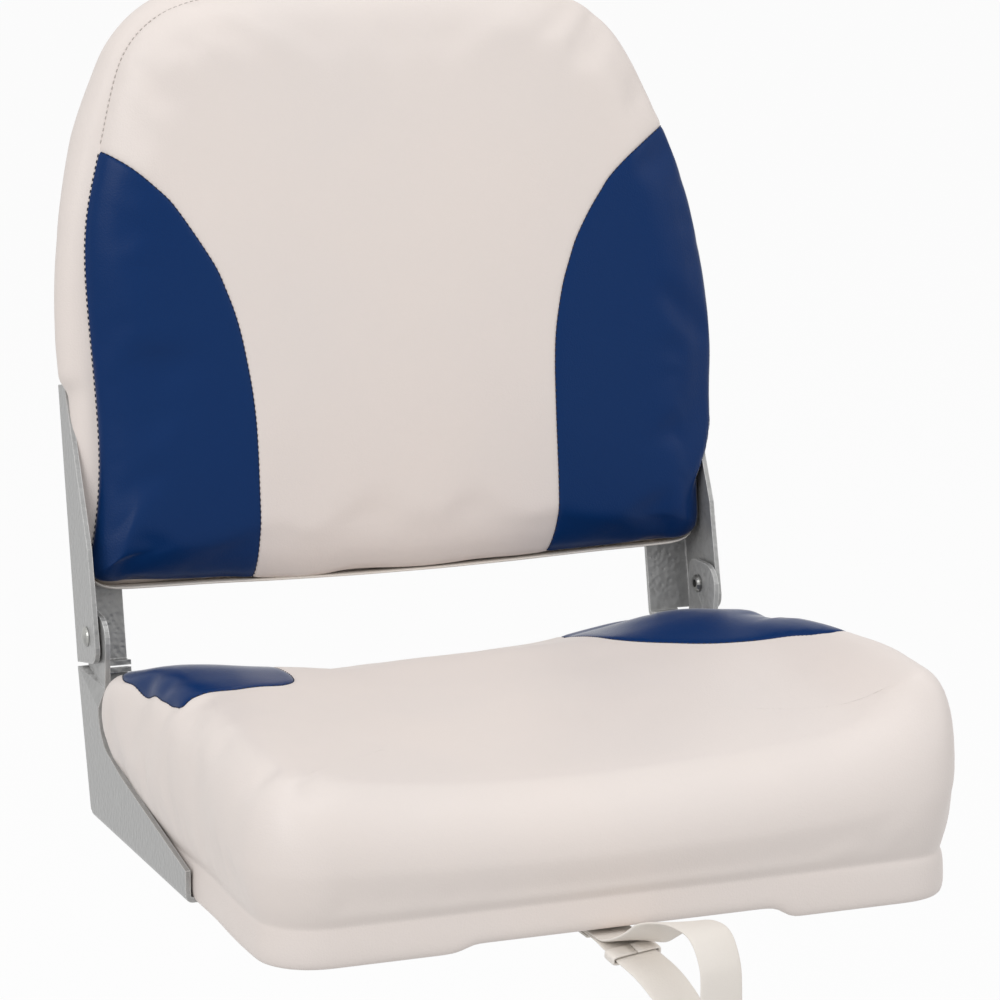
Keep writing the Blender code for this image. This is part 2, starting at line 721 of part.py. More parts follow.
def make_lower_bracket(side, word, steel):
    """Foot, riser and joggled ear pressed from one plate, with a rear flange and a stop lip."""
    bm = bmesh.new()
    along_rear = Vector((0, sin(LOWER_LEAN), cos(LOWER_LEAN)))
    rearward = Vector((0, cos(LOWER_LEAN), -sin(LOWER_LEAN)))
    forward = Vector((0, -cos(BACK_LEAN), sin(BACK_LEAN)))
    slit = 2 * PLATE * sin(LOWER_LEAN)

    def on_plate(along, height, offset=0.0):
        return bm.verts.new((BRACKET_HALF_WIDTH - offset, RIVET_Y + along, RIVET_Z + height))

    floor = -RIVET_Z + FOOT_LIFT + BEND
    rear_top = on_plate(lower_rear(LOWER_TOP) - BEND, -LOWER_TOP)
    corner_y = lower_rear(-floor) - BEND
    rear_low = on_plate(corner_y + sin(LOWER_LEAN) * slit, floor + slit)
    corner = on_plate(corner_y, floor)
    foot_rear = on_plate(corner_y - slit, floor)
    foot_front = on_plate(-FOOT_REACH, floor)
    foot_top = on_plate(-FOOT_REACH, -RIVET_Z + FOOT_NOSE)
    knee = on_plate(-KNEE_Y, -RIVET_Z + KNEE_Z)
    centre = (-RISER_FRONT - RISER_FILLET, -RIVET_Z + FOOT_SHOULDER + RISER_FILLET)
    fillet = [on_plate(along, height) for along, height in arc(centre, RISER_FILLET, -75, 0, 5)]
    bm.faces.new([rear_top, rear_low, corner, foot_rear, foot_front, foot_top, knee] + fillet)

    step_in = BRACKET_HALF_WIDTH - EAR_OUTER_X
    ear_rear = on_plate(EAR_REAR, -LOWER_TOP + JOGGLE_RISE, step_in)
    ear_front = on_plate(-RISER_FRONT, -LOWER_TOP - JOGGLE_DROP, step_in)
    bm.faces.new([rear_top, fillet[-1], ear_front])
    bm.faces.new([rear_top, ear_front, ear_rear])
    crown = EAR_TOP
    front_arc = arc((-EAR_FRONT + crown, 0), crown, 180, 90, 6)
    rear_arc = arc((EAR_REAR - crown / 2, crown / 2), crown / 2, 90, 0, 3)
    lobe = [on_plate(along, height, step_in) for along, height in front_arc + rear_arc]
    bm.faces.new([ear_rear, ear_front] + lobe)

    notch = stop_notch()
    rear_flange(bm, (rear_top, rear_low), rearward, along_rear, forward, notch)
    foot = bend_edge(bm, (foot_rear, foot_front), Vector((0, 0, -1)), Vector((-1, 0, 0)))
    run_on(bm, foot, Vector((-1, 0, 0)) * (FLANGE - BEND))
    bracket = sheet("lower_bracket_" + word, bm, side)

    bm = bmesh.new()
    post_into(bm, (side * (BRACKET_HALF_WIDTH + OVERRUN), RIVET_Y, RIVET_Z), (-side, 0, 0),
              RIVET_RADIUS + GAP, 4 * OVERRUN)
    for place in foot_screw_places():
        if place.x * side > 0:
            low = place - Vector((0, 0, OVERRUN))
            post_into(bm, low, (0, 0, 1), SCREW_RADIUS + GAP, 3 * OVERRUN, segments=12)
            sinks = bmesh.new()
            neck = SCREW_HEAD - SCREW_RADIUS
            post_into(sinks, place - Vector((0, 0, GAP)), (0, 0, 1), SCREW_HEAD + GAP, neck + GAP,
                      segments=12, tip_radius=SCREW_RADIUS)
            boolean(bracket, add_mesh("sink_" + word, sinks, guide=True))
    holes = add_mesh("lower_holes_" + word, bm, guide=True)
    boolean(bracket, holes)
    return finish(bracket, steel)


def make_upper_bracket(side, word, steel, frame):
    """Tapered side plate with a full-length rear flange that ends in a stop lip."""
    bm = bmesh.new()
    x = BRACKET_HALF_WIDTH

    def on_plate(along, height):
        return bm.verts.new((x, along, height))

    rear = UPPER_REAR - BEND
    rear_low = on_plate(rear, -UPPER_BOTTOM)
    rear_top = on_plate(rear, UPPER_TOP)
    tip = UPPER_REAR - UPPER_TIP_WIDTH
    top_front = [on_plate(along, height) for along, height in
                 arc((tip + BEND, UPPER_TOP - BEND), BEND, 90, 180, 3)]
    waist = on_plate(-UPPER_WAIST_FRONT, UPPER_WAIST)
    corner = arc((-UPPER_FRONT + UPPER_CORNER, -UPPER_BOTTOM + UPPER_CORNER), UPPER_CORNER,
                 180, 270, 4)
    low_front = [on_plate(along, height) for along, height in corner]
    bm.faces.new([rear_low, rear_top] + top_front + [waist] + low_front)
    rear_flange(bm, (rear_low, rear_top), Vector((0, 1, 0)), Vector((0, 0, -1)),
                Vector((0, -1, 0)))
    bracket = sheet("upper_bracket_" + word, bm, side, frame)

    bm = bmesh.new()
    post_into(bm, (side * (BRACKET_HALF_WIDTH + OVERRUN), 0, 0), (-side, 0, 0),
              RIVET_RADIUS + GAP, 2 * OVERRUN)
    for place in back_screw_places(side):
        post_into(bm, place + Vector((0, OVERRUN, 0)), (0, -1, 0), SCREW_RADIUS + GAP,
                  OVERRUN + 2 * PLATE, segments=12)
    holes = add_mesh("upper_holes_" + word, bm, frame, guide=True)
    boolean(bracket, holes)
    return finish(bracket, steel)


def back_screw_places(side):
    """Screws through the rear flange into the shell, in the leaning frame."""
    x = BRACKET_HALF_WIDTH - FLANGE + BACK_SCREW_INSET
    heights = [BACK_SCREW_FIRST + SCREW_PITCH * index for index in range(3)]
    return [Vector((side * x, UPPER_REAR, height)) for height in heights]


def pan_head_profile(length):
    """Domed screw head with a cross recess left plain, and its shank, head upward."""
    dome = SCREW_DOME
    head = SCREW_HEAD
    points = [(0, dome), (head * 0.6, dome * 0.9), (head, dome * 0.3), (head, 0)]
    return points + [(SCREW_RADIUS, 0), (SCREW_RADIUS, -length + SCREW_RADIUS), (0, -length)]


def flat_head_profile(length):
    """Countersunk screw head and shank, with the head's face a little below its surface."""
    neck = SCREW_HEAD - SCREW_RADIUS
    points = [(0, -2 * GAP), (SCREW_HEAD - GAP, -2 * GAP), (SCREW_RADIUS, -neck - GAP)]
    return points + [(SCREW_RADIUS, -length + SCREW_RADIUS), (0, -length)]


def make_screws(name, places, axis, profile, look, parent=None):
    """Equal screws whose heads face along an axis."""
    turn = Vector(axis).to_track_quat("Z", "Y").to_matrix().to_4x4()
    mesh = turned_mesh(profile, 12)
    for index, place in enumerate(places):
        spot = Matrix.Translation(place + Vector(axis) * GAP) @ turn
        placed(f"{name}_{index + 1}" if len(places) > 1 else name, mesh, spot, look, parent)


def make_rivet(side, word, steel):
    """Tubular rivet: domed head outside, rolled tail with an open end inside."""
    outer = BRACKET_HALF_WIDTH + GAP - HINGE.x
    inner = EAR_INNER_X - GAP
    tail = inner - RIVET_DOME
    profile = [
        (0, outer + RIVET_DOME), (RIVET_HEAD * 0.55, outer + RIVET_DOME * 0.85),
        (RIVET_HEAD * 0.9, outer + RIVET_DOME * 0.45), (RIVET_HEAD, outer),
        (RIVET_RADIUS, outer), (RIVET_RADIUS, inner), (RIVET_TAIL, inner),
        (RIVET_TAIL, inner - RIVET_DOME / 2), (RIVET_TAIL * 0.8, tail), (RIVET_HOLLOW, tail),
        (RIVET_HOLLOW, inner + PLATE), (0, inner + PLATE),
    ]
    place = Matrix.Translation(HINGE) @ Matrix.Rotation(pi / 2 * side, 4, "Y")
    return placed("pivot_rivet_" + word, turned_mesh(profile, 20), place, steel)


def make_washer(side, word, plastic):
    low = EAR_OUTER_X + GAP
    bore = RIVET_RADIUS + GAP
    profile = [(bore, low), (bore, low + WASHER), (WASHER_RADIUS, low + WASHER),
               (WASHER_RADIUS, low)]
    place = Matrix.Translation(HINGE) @ Matrix.Rotation(pi / 2 * side, 4, "Y")
    return placed("spacer_washer_" + word, turned_mesh(profile, 20), place, plastic)


def back_outline():
    """Counterclockwise cage outline of the backrest in its leaning frame, from the bottom."""
    width = SEAT_HALF_WIDTH
    tall = BACK_TOP - BACK_BOTTOM
    corner_shares = (
        (0.93, 0.0), (1.0, 0.03), (1.0, 0.12), (0.995, 0.26), (1.0, 0.47),
        (0.99, 0.6), (0.935, 0.77), (0.83, 0.91), (0.58, 1.0),
    )
    right = [(width * across, BACK_BOTTOM + tall * up) for across, up in corner_shares]
    left = [(-across, up) for across, up in reversed(right)]
    return [(0, BACK_BOTTOM)] + right + [(0, BACK_TOP)] + left


def seam_depth(height):
    """Local Y of the front seam at a height up the backrest."""
    return BACK_SEAM_FOOT - BACK_SEAM_TILT * height


def back_ring(bm, outline, depth):
    """Ring of vertices on a backrest outline; depth is a function of the height."""
    return [bm.verts.new((across, depth(up), up)) for across, up in outline]


def band_depth(share):
    """Depth of a ring on the side band, as a share of the way from seam to rim."""
    return lambda up: seam_depth(up) + (RIM_FRONT - seam_depth(up)) * share


def swelled(outline, amount):
    """Offsets the outline outward, less where the backrest is thin or between the brackets."""
    moved = []
    full = offset_outline(outline, amount)
    for (across, up), (far_across, far_up) in zip(outline, full):
        clear = min(max((up - UPPER_TOP) / BULGE_RAMP, 0), 1)
        part = clear * min((RIM_FRONT - seam_depth(up)) / BULGE_FULL_DEPTH, 1)
        moved.append((across + (far_across - across) * part, up + (far_up - up) * part))
    return moved


def back_scaled(outline, share):
    middle = (BACK_TOP + BACK_BOTTOM) / 2
    return [(across * share, middle + (up - middle) * share) for across, up in outline]


def back_rings(bm):
    """Cage rings of the backrest cushion, from its crown to the rim of the shell."""
    outline = back_outline()
    crown_shares = ((0.87, 0.86), (0.972, 0.46))
    rings = []
    for share, rise in crown_shares:
        rings.append(back_ring(bm, back_scaled(outline, share),
                               lambda up, rise=rise: seam_depth(up) - BACK_CROWN * rise))
    rings.append(back_ring(bm, outline, seam_depth))
    rings.append(back_ring(bm, swelled(outline, BACK_BULGE), band_depth(0.3)))
    rings.append(back_ring(bm, swelled(outline, BACK_BULGE), band_depth(0.65)))
    rings.append(back_ring(bm, offset_outline(outline, -TUCK / 2), lambda up: RIM_FRONT - VINYL))
    bridge(bm, rings)
    middle = (BACK_TOP + BACK_BOTTOM) / 2
    crown = bm.verts.new((0, seam_depth(middle) - BACK_CROWN, middle))
    first = rings[0]
    for index, vertex in enumerate(first):
        bm.faces.new((first[(index + 1) % len(first)], vertex, crown))
    return rings


def back_skin(name, frame):
    """Vinyl skin of the backrest: its edge is tucked inside the rim of the shell."""
    bm = bmesh.new()
    rings = back_rings(bm)
    tuck = back_ring(bm, offset_outline(back_outline(), -TUCK),
                     lambda up: RIM_FRONT + TUCK_DEPTH)
    bridge(bm, [rings[-1], tuck])
    skin = add_mesh(name, bm, frame)
    soften(skin)
    thicken(skin)
    return skin


def seam_block(name, frame, front):
    """Block on one side of the seam plane, to part the front panel from the side band."""
    far = 2 * SEAT_HALF_WIDTH
    tall = BACK_TOP + far
    shift = -GAP / 2 if front else GAP / 2
    low_y = seam_depth(-far) + shift
    high_y = seam_depth(tall) + shift
    reach = -far if front else far
    outline = [(low_y, -far), (high_y, tall), (high_y + reach, tall), (low_y + reach, -far)]
    place = Matrix(((0, 0, 1, 0), (1, 0, 0, 0), (0, 1, 0, 0), (0, 0, 0, 1)))
    return prism(name, outline, place, -far, far, frame, guide=True)


def back_insert_outline(side, grow):
    """Blue insert of the backrest: a quarter ellipse over a straight lower part."""
    wide = BACK_INSERT_WIDTH + grow
    tall = BACK_INSERT_HEIGHT + grow
    centre = SEAT_HALF_WIDTH
    outer = centre + wide
    low = -BACK_BOTTOM
    points = [(outer, low), (outer, BACK_INSERT_BASE + tall)]
    steps = 14
    for step in range(steps + 1):
        turn = pi / 2 * step / steps
        points.append((centre - wide * sin(turn), BACK_INSERT_BASE + tall * cos(turn)))
    points.append((centre - wide, low))
    return [(side * across, up) for across, up in points]


def make_back_covers(white, blue, frame):
    """White front panel, blue inserts and white side band of the backrest."""
    behind_seam = seam_block("behind_seam", frame, False)
    before_seam = seam_block("before_seam", frame, True)
    cover = finish(back_skin("back_cover", frame), white)
    boolean(cover, before_seam, "INTERSECT")
    place = Matrix(((1, 0, 0, 0), (0, 0, 1, 0), (0, 1, 0, 0), (0, 0, 0, 1)))
    reach = 2 * BACK_CROWN + SHELL_DEPTH + BULGE_FULL_DEPTH
    for side, word in ((-1, "left"), (1, "right")):
        window = insert_cutter("back_window_" + word, back_insert_outline(side, GAP / 2),
                               -reach, reach, frame, place)
        shape = insert_cutter("back_insert_" + word, back_insert_outline(side, -GAP / 2),
                              -reach, reach, frame, place)
        boolean(cover, window)
        panel = finish(back_skin("back_panel_" + word, frame), blue)
        boolean(panel, before_seam, "INTERSECT")
        boolean(panel, shape, "INTERSECT")
    band = finish(back_skin("back_side_band", frame), white)
    boolean(band, behind_seam, "INTERSECT")


def make_back_foam(foam_look, frame):
    bm = bmesh.new()
    rings = back_rings(bm)
    floor = SHELL_REAR - SHELL_WALL
    base = back_ring(bm, offset_outline(back_outline(), -VINYL), lambda up: floor)
    bridge(bm, [rings[-1], base])
    bm.faces.new(base)
    foam = add_mesh("back_foam", bm, frame)
    soften(foam)
    shrink(foam, VINYL + FOAM_EASE)
    bm = bmesh.new()
    for side in (-1, 1):
        for place in back_screw_places(side):
            post_into(bm, (place.x, SHELL_REAR, place.z), (0, -1, 0), BACK_BOSS_RADIUS + 3 * GAP,
                      SHELL_WALL + BACK_BOSS_LENGTH + 2 * GAP, segments=10)
    boolean(foam, add_mesh("foam_relief", bm, frame, guide=True))
    return finish(foam, foam_look)


def make_back_shell(plastic, frame):
    """Moulded tray behind the backrest, with bosses for the bracket screws."""
    outline = back_outline()
    bm = bmesh.new()
    rim = back_ring(bm, offset_outline(outline, SHELL_FLARE), lambda up: RIM_FRONT)
    side = back_ring(bm, offset_outline(outline, SHELL_FLARE), lambda up: SHELL_REAR - SHELL_ROUND)
    turn_in = back_ring(bm, offset_outline(outline, -SHELL_ROUND / 3), lambda up: SHELL_REAR)
    flat = back_ring(bm, offset_outline(outline, -3 * SHELL_ROUND), lambda up: SHELL_REAR)
    bridge(bm, [rim, side, turn_in, flat])
    bm.faces.new(flat)
    shell = add_mesh("back_shell", bm, frame)
    soften(shell)
    wall = shell.modifiers.new("wall", "SOLIDIFY")
    wall.thickness = SHELL_WALL
    wall.offset = -1
    bosses = bmesh.new()
    holes = bmesh.new()
    for side_sign in (-1, 1):
        for place in back_screw_places(side_sign):
            foot = (place.x, SHELL_REAR - SHELL_WALL / 2, place.z)
            post_into(bosses, foot, (0, -1, 0), BACK_BOSS_RADIUS,
                      BACK_BOSS_LENGTH + SHELL_WALL / 2)
            post_into(holes, (place.x, SHELL_REAR + OVERRUN, place.z), (0, -1, 0),
                      SCREW_RADIUS + GAP, OVERRUN + BACK_BOSS_LENGTH + SHELL_WALL, segments=12)
    boolean(shell, add_mesh("shell_bosses", bosses, frame, guide=True), "UNION")
    boolean(shell, add_mesh("shell_holes", holes, frame, guide=True))
    return finish(shell, plastic)


# Route of the strap from its clamp, round the loop and back: across, forward and up from the
# front edge as shares of the reach, then the yaw of the band's width in degrees
STRAP_SHARES = (
    (0.0, -0.06, 0.010, 0), (0.0, 0.06, 0.014, 3), (0.017, 0.19, 0.05, 14),
    (0.044, 0.345, 0.133, 32), (0.078, 0.52, 0.205, 40), (0.139, 0.71, 0.261, 36),
    (0.194, 0.845, 0.211, 24), (0.217, 0.93, 0.067, 14), (0.213, 0.96, -0.111, 10),
    (0.2, 0.955, -0.311, 8), (0.178, 0.89, -0.478, 7), (0.15, 0.772, -0.522, 6),
    (0.122, 0.667, -0.4, 5), (0.089, 0.567, -0.233, 4), (0.05, 0.422, -0.111, 2),
    (0.017, 0.256, -0.056, 0), (0.0, 0.09, -0.022, 0), (0.0, -0.06, -0.0085, 0),
)
KEEPER_STATIONS = range(30, 34)


def through_points(points, steps):
    """Smooth curve through points of any dimension, with a few steps in each stretch."""
    curve = []
    last = len(points) - 1
    for index in range(last):
        before = points[max(index - 1, 0)]
        start = points[index]
        stop = points[index + 1]
        after = points[min(index + 2, last)]
        for step in range(steps):
            part = step / steps
            curve.append([
                0.5 * (2 * b + (c - a) * part + (2 * a - 5 * b + 4 * c - d) * part ** 2
                       + (3 * b - a - 3 * c + d) * part ** 3)
                for a, b, c, d in zip(before, start, stop, after)
            ])
    curve.append(list(points[last]))
    return curve


def strap_stations():
    """Middle of the band and half its width, as vectors, along the whole route."""
    anchor = STRAP_ROOT + CLAMP_DEPTH
    first = (0, -anchor / STRAP_REACH, STRAP_TOP_Z / STRAP_REACH, 0)
    last = (0, -anchor / STRAP_REACH, STRAP_LOW_Z / STRAP_REACH, 0)
    stations = []
    for across, ahead, up, yaw in through_points((first,) + STRAP_SHARES + (last,), 2):
        middle = Vector((STRAP_X + across * STRAP_REACH, SEAT_FRONT_Y - ahead * STRAP_REACH,
                         up * STRAP_REACH))
        half = Vector((cos(radians(yaw)), sin(radians(yaw)), 0)) * STRAP_WIDTH / 2
        stations.append((middle, half))
    return stations


def make_strap(white):
    """Loop of doubled vinyl: both ends are clamped under the hem at the front edge."""
    bm = bmesh.new()
    edges = [(bm.verts.new(middle - half), bm.verts.new(middle + half))
             for middle, half in strap_stations()]
    for (left, right), (next_left, next_right) in zip(edges, edges[1:]):
        bm.faces.new((left, right, next_right, next_left))
    strap = add_mesh("strap", bm)
    wall = strap.modifiers.new("band", "SOLIDIFY")
    wall.thickness = STRAP_THICKNESS
    wall.offset = 0
    wall.use_even_offset = True
    bm = bmesh.new()
    post_into(bm, (STRAP_X, STRAP_SCREW_Y, -OVERRUN), (0, 0, 1), SCREW_RADIUS + GAP, 2 * OVERRUN)
    hole = add_mesh("strap_hole", bm, guide=True)
    boolean(strap, hole)
    boolean(bpy.data.objects["seat_cover"], hole)
    return finish(strap, white)


def make_strap_clamp(plastic, zinc):
    """Plate and screw that hold both ends of the strap up against the pan."""
    top = STRAP_LOW_Z - STRAP_THICKNESS / 2 - GAP
    half = STRAP_WIDTH / 2
    clamp = box("strap_clamp", (STRAP_X - half, STRAP_SCREW_Y - CLAMP_DEPTH / 2, top - VINYL),
                (STRAP_X + half, STRAP_SCREW_Y + CLAMP_DEPTH / 2, top))
    bm = bmesh.new()
    post_into(bm, (STRAP_X, STRAP_SCREW_Y, top - OVERRUN), (0, 0, 1), SCREW_RADIUS + GAP,
              2 * OVERRUN)
    boolean(clamp, add_mesh("clamp_hole", bm, guide=True))
    finish(clamp, plastic)
    make_screws("strap_screw", [Vector((STRAP_X, STRAP_SCREW_Y, top - VINYL))], (0, 0, -1),
                pan_head_profile(SCREW_LENGTH), zinc)


def make_strap_keeper(white):
    """Sewn band round the lower run of the strap, just in front of the seat."""
    bm = bmesh.new()
    stations = strap_stations()
    rings = []
    for index in KEEPER_STATIONS:
        middle, half = stations[index]
        side = half.normalized()
        along = (stations[index + 1][0] - stations[index - 1][0]).normalized()
        up = side.cross(along)
        wide = side * (STRAP_WIDTH / 2 + GAP)
        tall = up * (STRAP_THICKNESS / 2 + GAP)
        corners = [-wide - tall, wide - tall, wide + tall, -wide + tall]
        rings.append([bm.verts.new(middle + corner) for corner in corners])
    bridge(bm, rings)
    keeper = add_mesh("strap_keeper", bm)
    wall = keeper.modifiers.new("band", "SOLIDIFY")
    wall.thickness = KEEPER_WALL
    wall.offset = 1
    wall.use_even_offset = True
    return finish(keeper, white)


def build():
    white = material("white_vinyl", WHITE, 0.48)
    blue = material("blue_vinyl", BLUE, 0.42)
    foam_look = material("foam", (0.86, 0.8, 0.6, 1), 0.9)
    plastic = material("pan_plastic", (0.62, 0.61, 0.58, 1), 0.5)
    shell_look = material("shell_plastic", (0.75, 0.72, 0.68, 1), 0.45)
    paint = material("hammered_grey_paint", GREY, 0.4, 0.3)
    zinc = material("zinc_steel", (0.6, 0.6, 0.58, 1), 0.35, 1.0)
    brass = material("insert_brass", (0.7, 0.55, 0.28, 1), 0.35, 1.0)
    nylon = material("nylon", (0.85, 0.85, 0.83, 1), 0.5)

    frame = bpy.data.objects.new("backrest_frame", None)
    SEAT.objects.link(frame)
    frame.location = HINGE
    frame.rotation_euler = (-BACK_LEAN, 0, 0)

    make_seat_pan(plastic)
    make_mount_inserts(brass)
    make_seat_foam(foam_look)
    make_seat_covers(white, blue)
    make_strap(white)
    make_strap_keeper(white)
    make_strap_clamp(shell_look, zinc)
    for side, word in ((-1, "left"), (1, "right")):
        make_lower_bracket(side, word, paint)
        make_upper_bracket(side, word, paint, frame)
        make_rivet(side, word, zinc)
        make_washer(side, word, nylon)
        make_screws("back_screw_" + word, back_screw_places(side), (0, 1, 0),
                    pan_head_profile(PLATE + BACK_BOSS_LENGTH), zinc, frame)
        foot_places = [place for place in foot_screw_places() if place.x * side > 0]
        make_screws("foot_screw_" + word, foot_places, (0, 0, -1),
                    flat_head_profile(SCREW_LENGTH), zinc)
    make_back_shell(shell_look, frame)
    make_back_foam(foam_look, frame)
    make_back_covers(white, blue, frame)


clear_scene()
SEAT = new_collection("folding_boat_seat")
CUTTERS = new_collection("cutters", hidden=True)
build()
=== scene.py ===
"""Folding boat seat: white and navy vinyl cushions on hammered grey hinge brackets."""

import json
from math import cos, pi, radians, sin

import bmesh
import bpy
import numpy as np
from mathutils import Matrix, Vector

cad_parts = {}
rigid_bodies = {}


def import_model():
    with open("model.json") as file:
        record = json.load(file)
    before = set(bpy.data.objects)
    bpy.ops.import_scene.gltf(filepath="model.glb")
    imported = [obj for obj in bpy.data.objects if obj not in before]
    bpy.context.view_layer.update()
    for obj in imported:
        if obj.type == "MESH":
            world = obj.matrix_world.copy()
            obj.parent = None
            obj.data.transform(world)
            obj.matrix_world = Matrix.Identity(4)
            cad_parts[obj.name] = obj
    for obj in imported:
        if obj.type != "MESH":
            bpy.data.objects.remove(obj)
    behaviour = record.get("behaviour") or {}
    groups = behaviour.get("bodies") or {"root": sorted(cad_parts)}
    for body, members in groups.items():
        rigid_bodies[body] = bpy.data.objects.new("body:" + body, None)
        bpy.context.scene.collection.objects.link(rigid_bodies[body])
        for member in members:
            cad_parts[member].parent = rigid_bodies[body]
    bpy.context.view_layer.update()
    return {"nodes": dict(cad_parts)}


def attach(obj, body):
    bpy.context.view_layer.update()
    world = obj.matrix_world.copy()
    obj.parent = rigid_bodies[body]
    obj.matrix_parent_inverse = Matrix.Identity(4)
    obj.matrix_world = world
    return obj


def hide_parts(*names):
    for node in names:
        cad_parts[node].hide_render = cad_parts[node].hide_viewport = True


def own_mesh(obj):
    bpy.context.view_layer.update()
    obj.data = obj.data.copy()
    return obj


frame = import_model()
MM = 0.001

# Hinge line, and the lean of the backrest about it
HINGE = Vector((0, 174, 111.2)) * MM
LEAN = radians(10.2)

# Seat cushion
SEAT_HALF = 200 * MM
SEAT_FRONT = -171 * MM
SEAT_REAR = 169 * MM
SEAT_CORNER_FRONT = 32 * MM
SEAT_CORNER_REAR = 44 * MM
CREASE_Z = 25 * MM

# Backrest cushion, in its leaning frame
SEAM_FOOT = 10.2 * MM
SEAM_TILT = 0.1127
RIM_FRONT = 15.2 * MM
BACK_MIDDLE = Vector((3, 190)) * MM

# Cells of the grids that the covers and the shell start from
COVER_CELLS = 56
SHELL_CELLS = 40


def curve_through(stations, values, where):
    """Smooth curve through values at rising stations, evaluated at an array of places."""
    stations = np.asarray(stations, float)
    values = np.asarray(values, float)
    slopes = np.gradient(values, stations, axis=0)
    where = np.clip(where, stations[0], stations[-1])
    index = np.clip(np.searchsorted(stations, where, side="right") - 1, 0, len(stations) - 2)
    step = stations[index + 1] - stations[index]
    part = (where - stations[index]) / step
    if values.ndim > 1:
        step = step[..., None]
        part = part[..., None]
    low, high = values[index], values[index + 1]
    low_slope, high_slope = slopes[index] * step, slopes[index + 1] * step
    cubic = 2 * low - 2 * high + low_slope + high_slope
    square = 3 * high - 3 * low - 2 * low_slope - high_slope
    return low + part * (low_slope + part * (square + part * cubic))


def smooth_share(low, high, value):
    """Share of the way from low to high, eased at both ends; low may be the greater one."""
    part = min(max((value - low) / (high - low), 0.0), 1.0)
    return float(part * part * (3 - 2 * part))


def blended(first, second, share):
    """Unit direction on the way from one direction to another."""
    turned = first * (1 - share) + second * share
    return turned / np.linalg.norm(turned)


def running_length(points):
    """Length of a line of points up to each of them."""
    return np.concatenate([[0], np.cumsum(np.linalg.norm(np.diff(points, axis=0), axis=1))])


def closed_points(points, rounds=4):
    """Corner-cut closed outline through a coarse control polygon."""
    points = np.asarray(points, float)
    for _ in range(rounds):
        after = np.roll(points, -1, axis=0)
        before = np.roll(points, 1, axis=0)
        middle = (points + after) / 2
        kept = (before + 6 * points + after) / 8
        points = np.stack([kept, middle], 1).reshape(-1, 2)
    return points


class Outline:
    """Closed outline, counterclockwise, with four named corners for a grid to follow."""

    def __init__(self, points, corners):
        points = np.asarray(points, float)
        self.points = np.vstack([points, points[:1]])
        self.length = running_length(self.points)
        nearest = [np.argmin(np.linalg.norm(points - corner, axis=1)) for corner in corners]
        self.marks = self.length[nearest]

    def at(self, side, part, reach=1.5 * MM):
        """Place and outward normal on one of the four sides; a longer reach softens corners."""
        total = self.length[-1]
        start = self.marks[side]
        span = (self.marks[(side + 1) % 4] - start) % total
        place = (start + span * part) % total
        tangent = self.along((place + reach) % total) - self.along((place - reach) % total)
        tangent /= np.linalg.norm(tangent, axis=-1)
        return self.along(place), np.array([tangent[1], -tangent[0]])

    def along(self, place):
        """Place at a length along the outline."""
        return np.array([np.interp(place, self.length, row) for row in self.points.T])


# How much wider the seat's front is than its rear, in millimetres
WIDER_LEFT = 2.0
WIDER_RIGHT = 3.6


def rounded_plan():
    """Plan of the seat: straight sides, tighter corners in front than behind."""
    points = []
    corners = (
        (SEAT_HALF, SEAT_FRONT, SEAT_CORNER_FRONT, -90),
        (SEAT_HALF, SEAT_REAR, SEAT_CORNER_REAR, 0),
        (-SEAT_HALF, SEAT_REAR, SEAT_CORNER_REAR, 90),
        (-SEAT_HALF, SEAT_FRONT, SEAT_CORNER_FRONT, 180),
    )
    for across, along, radius, start in corners:
        middle_x = across - np.sign(across) * radius
        middle_y = along - np.sign(along) * radius
        for turn in np.radians(start + np.linspace(0, 90, 25)):
            points.append((middle_x + radius * cos(turn), middle_y + radius * sin(turn)))
    dense = []
    for first, second in zip(points, points[1:] + points[:1]):
        count = max(1, int(np.linalg.norm(np.subtract(second, first)) / (4 * MM)))
        for step in range(count):
            across, along = np.add(first, np.subtract(second, first) * step / count)
            wider = WIDER_RIGHT if across > 0 else WIDER_LEFT
            ahead = smooth_share(-50 * MM, -110 * MM, along)
            outer = smooth_share(150 * MM, 190 * MM, abs(across))
            across += np.sign(across) * wider * ahead * outer * MM
            dense.append((across, along))
    return dense


SEAT_PLAN = Outline(rounded_plan(), [
    (-SEAT_HALF + 9 * MM, SEAT_FRONT + 9 * MM), (SEAT_HALF - 9 * MM, SEAT_FRONT + 9 * MM),
    (SEAT_HALF - 13 * MM, SEAT_REAR - 13 * MM), (-SEAT_HALF + 13 * MM, SEAT_REAR - 13 * MM),
])

# Half widths of the backrest's seam from the bottom to the top, in millimetres
BACK_LEFT = (
    (0, 25.2), (15, 26.4), (29, 27.0), (38, 27.0), (47, 25.4), (60, 24.2), (80, 24.8),
    (102, 27.4), (114, 28.8), (126, 28.9), (150, 29.6), (166, 31.4), (182, 31.8), (191, 31.0),
    (198.5, 33.5), (199.5, 42), (194, 62), (189.5, 95),
    (189.5, 130), (192, 172), (194, 212), (193.5, 237), (190, 260), (182, 288), (176, 313),
    (169, 338), (160, 353), (143, 368), (115, 376.5), (80, 379), (40, 380),
)
BACK_RIGHT = (
    (0, 25.2), (20, 24.9), (37, 25.9), (51, 27.1), (77, 26.3), (98, 27.9), (114, 28.3),
    (145, 28.7), (167, 30.4), (182, 29.6), (191, 29.6), (199, 33.5), (200.5, 42), (199.5, 62),
    (200, 95), (204, 130), (205, 154), (203, 179), (200.2, 204), (195.2, 229), (189, 254),
    (179.5, 278.5), (167.7, 303.5), (154.3, 329.5), (140.5, 350), (121, 366), (95, 375.5),
    (60, 379), (30, 380),
)

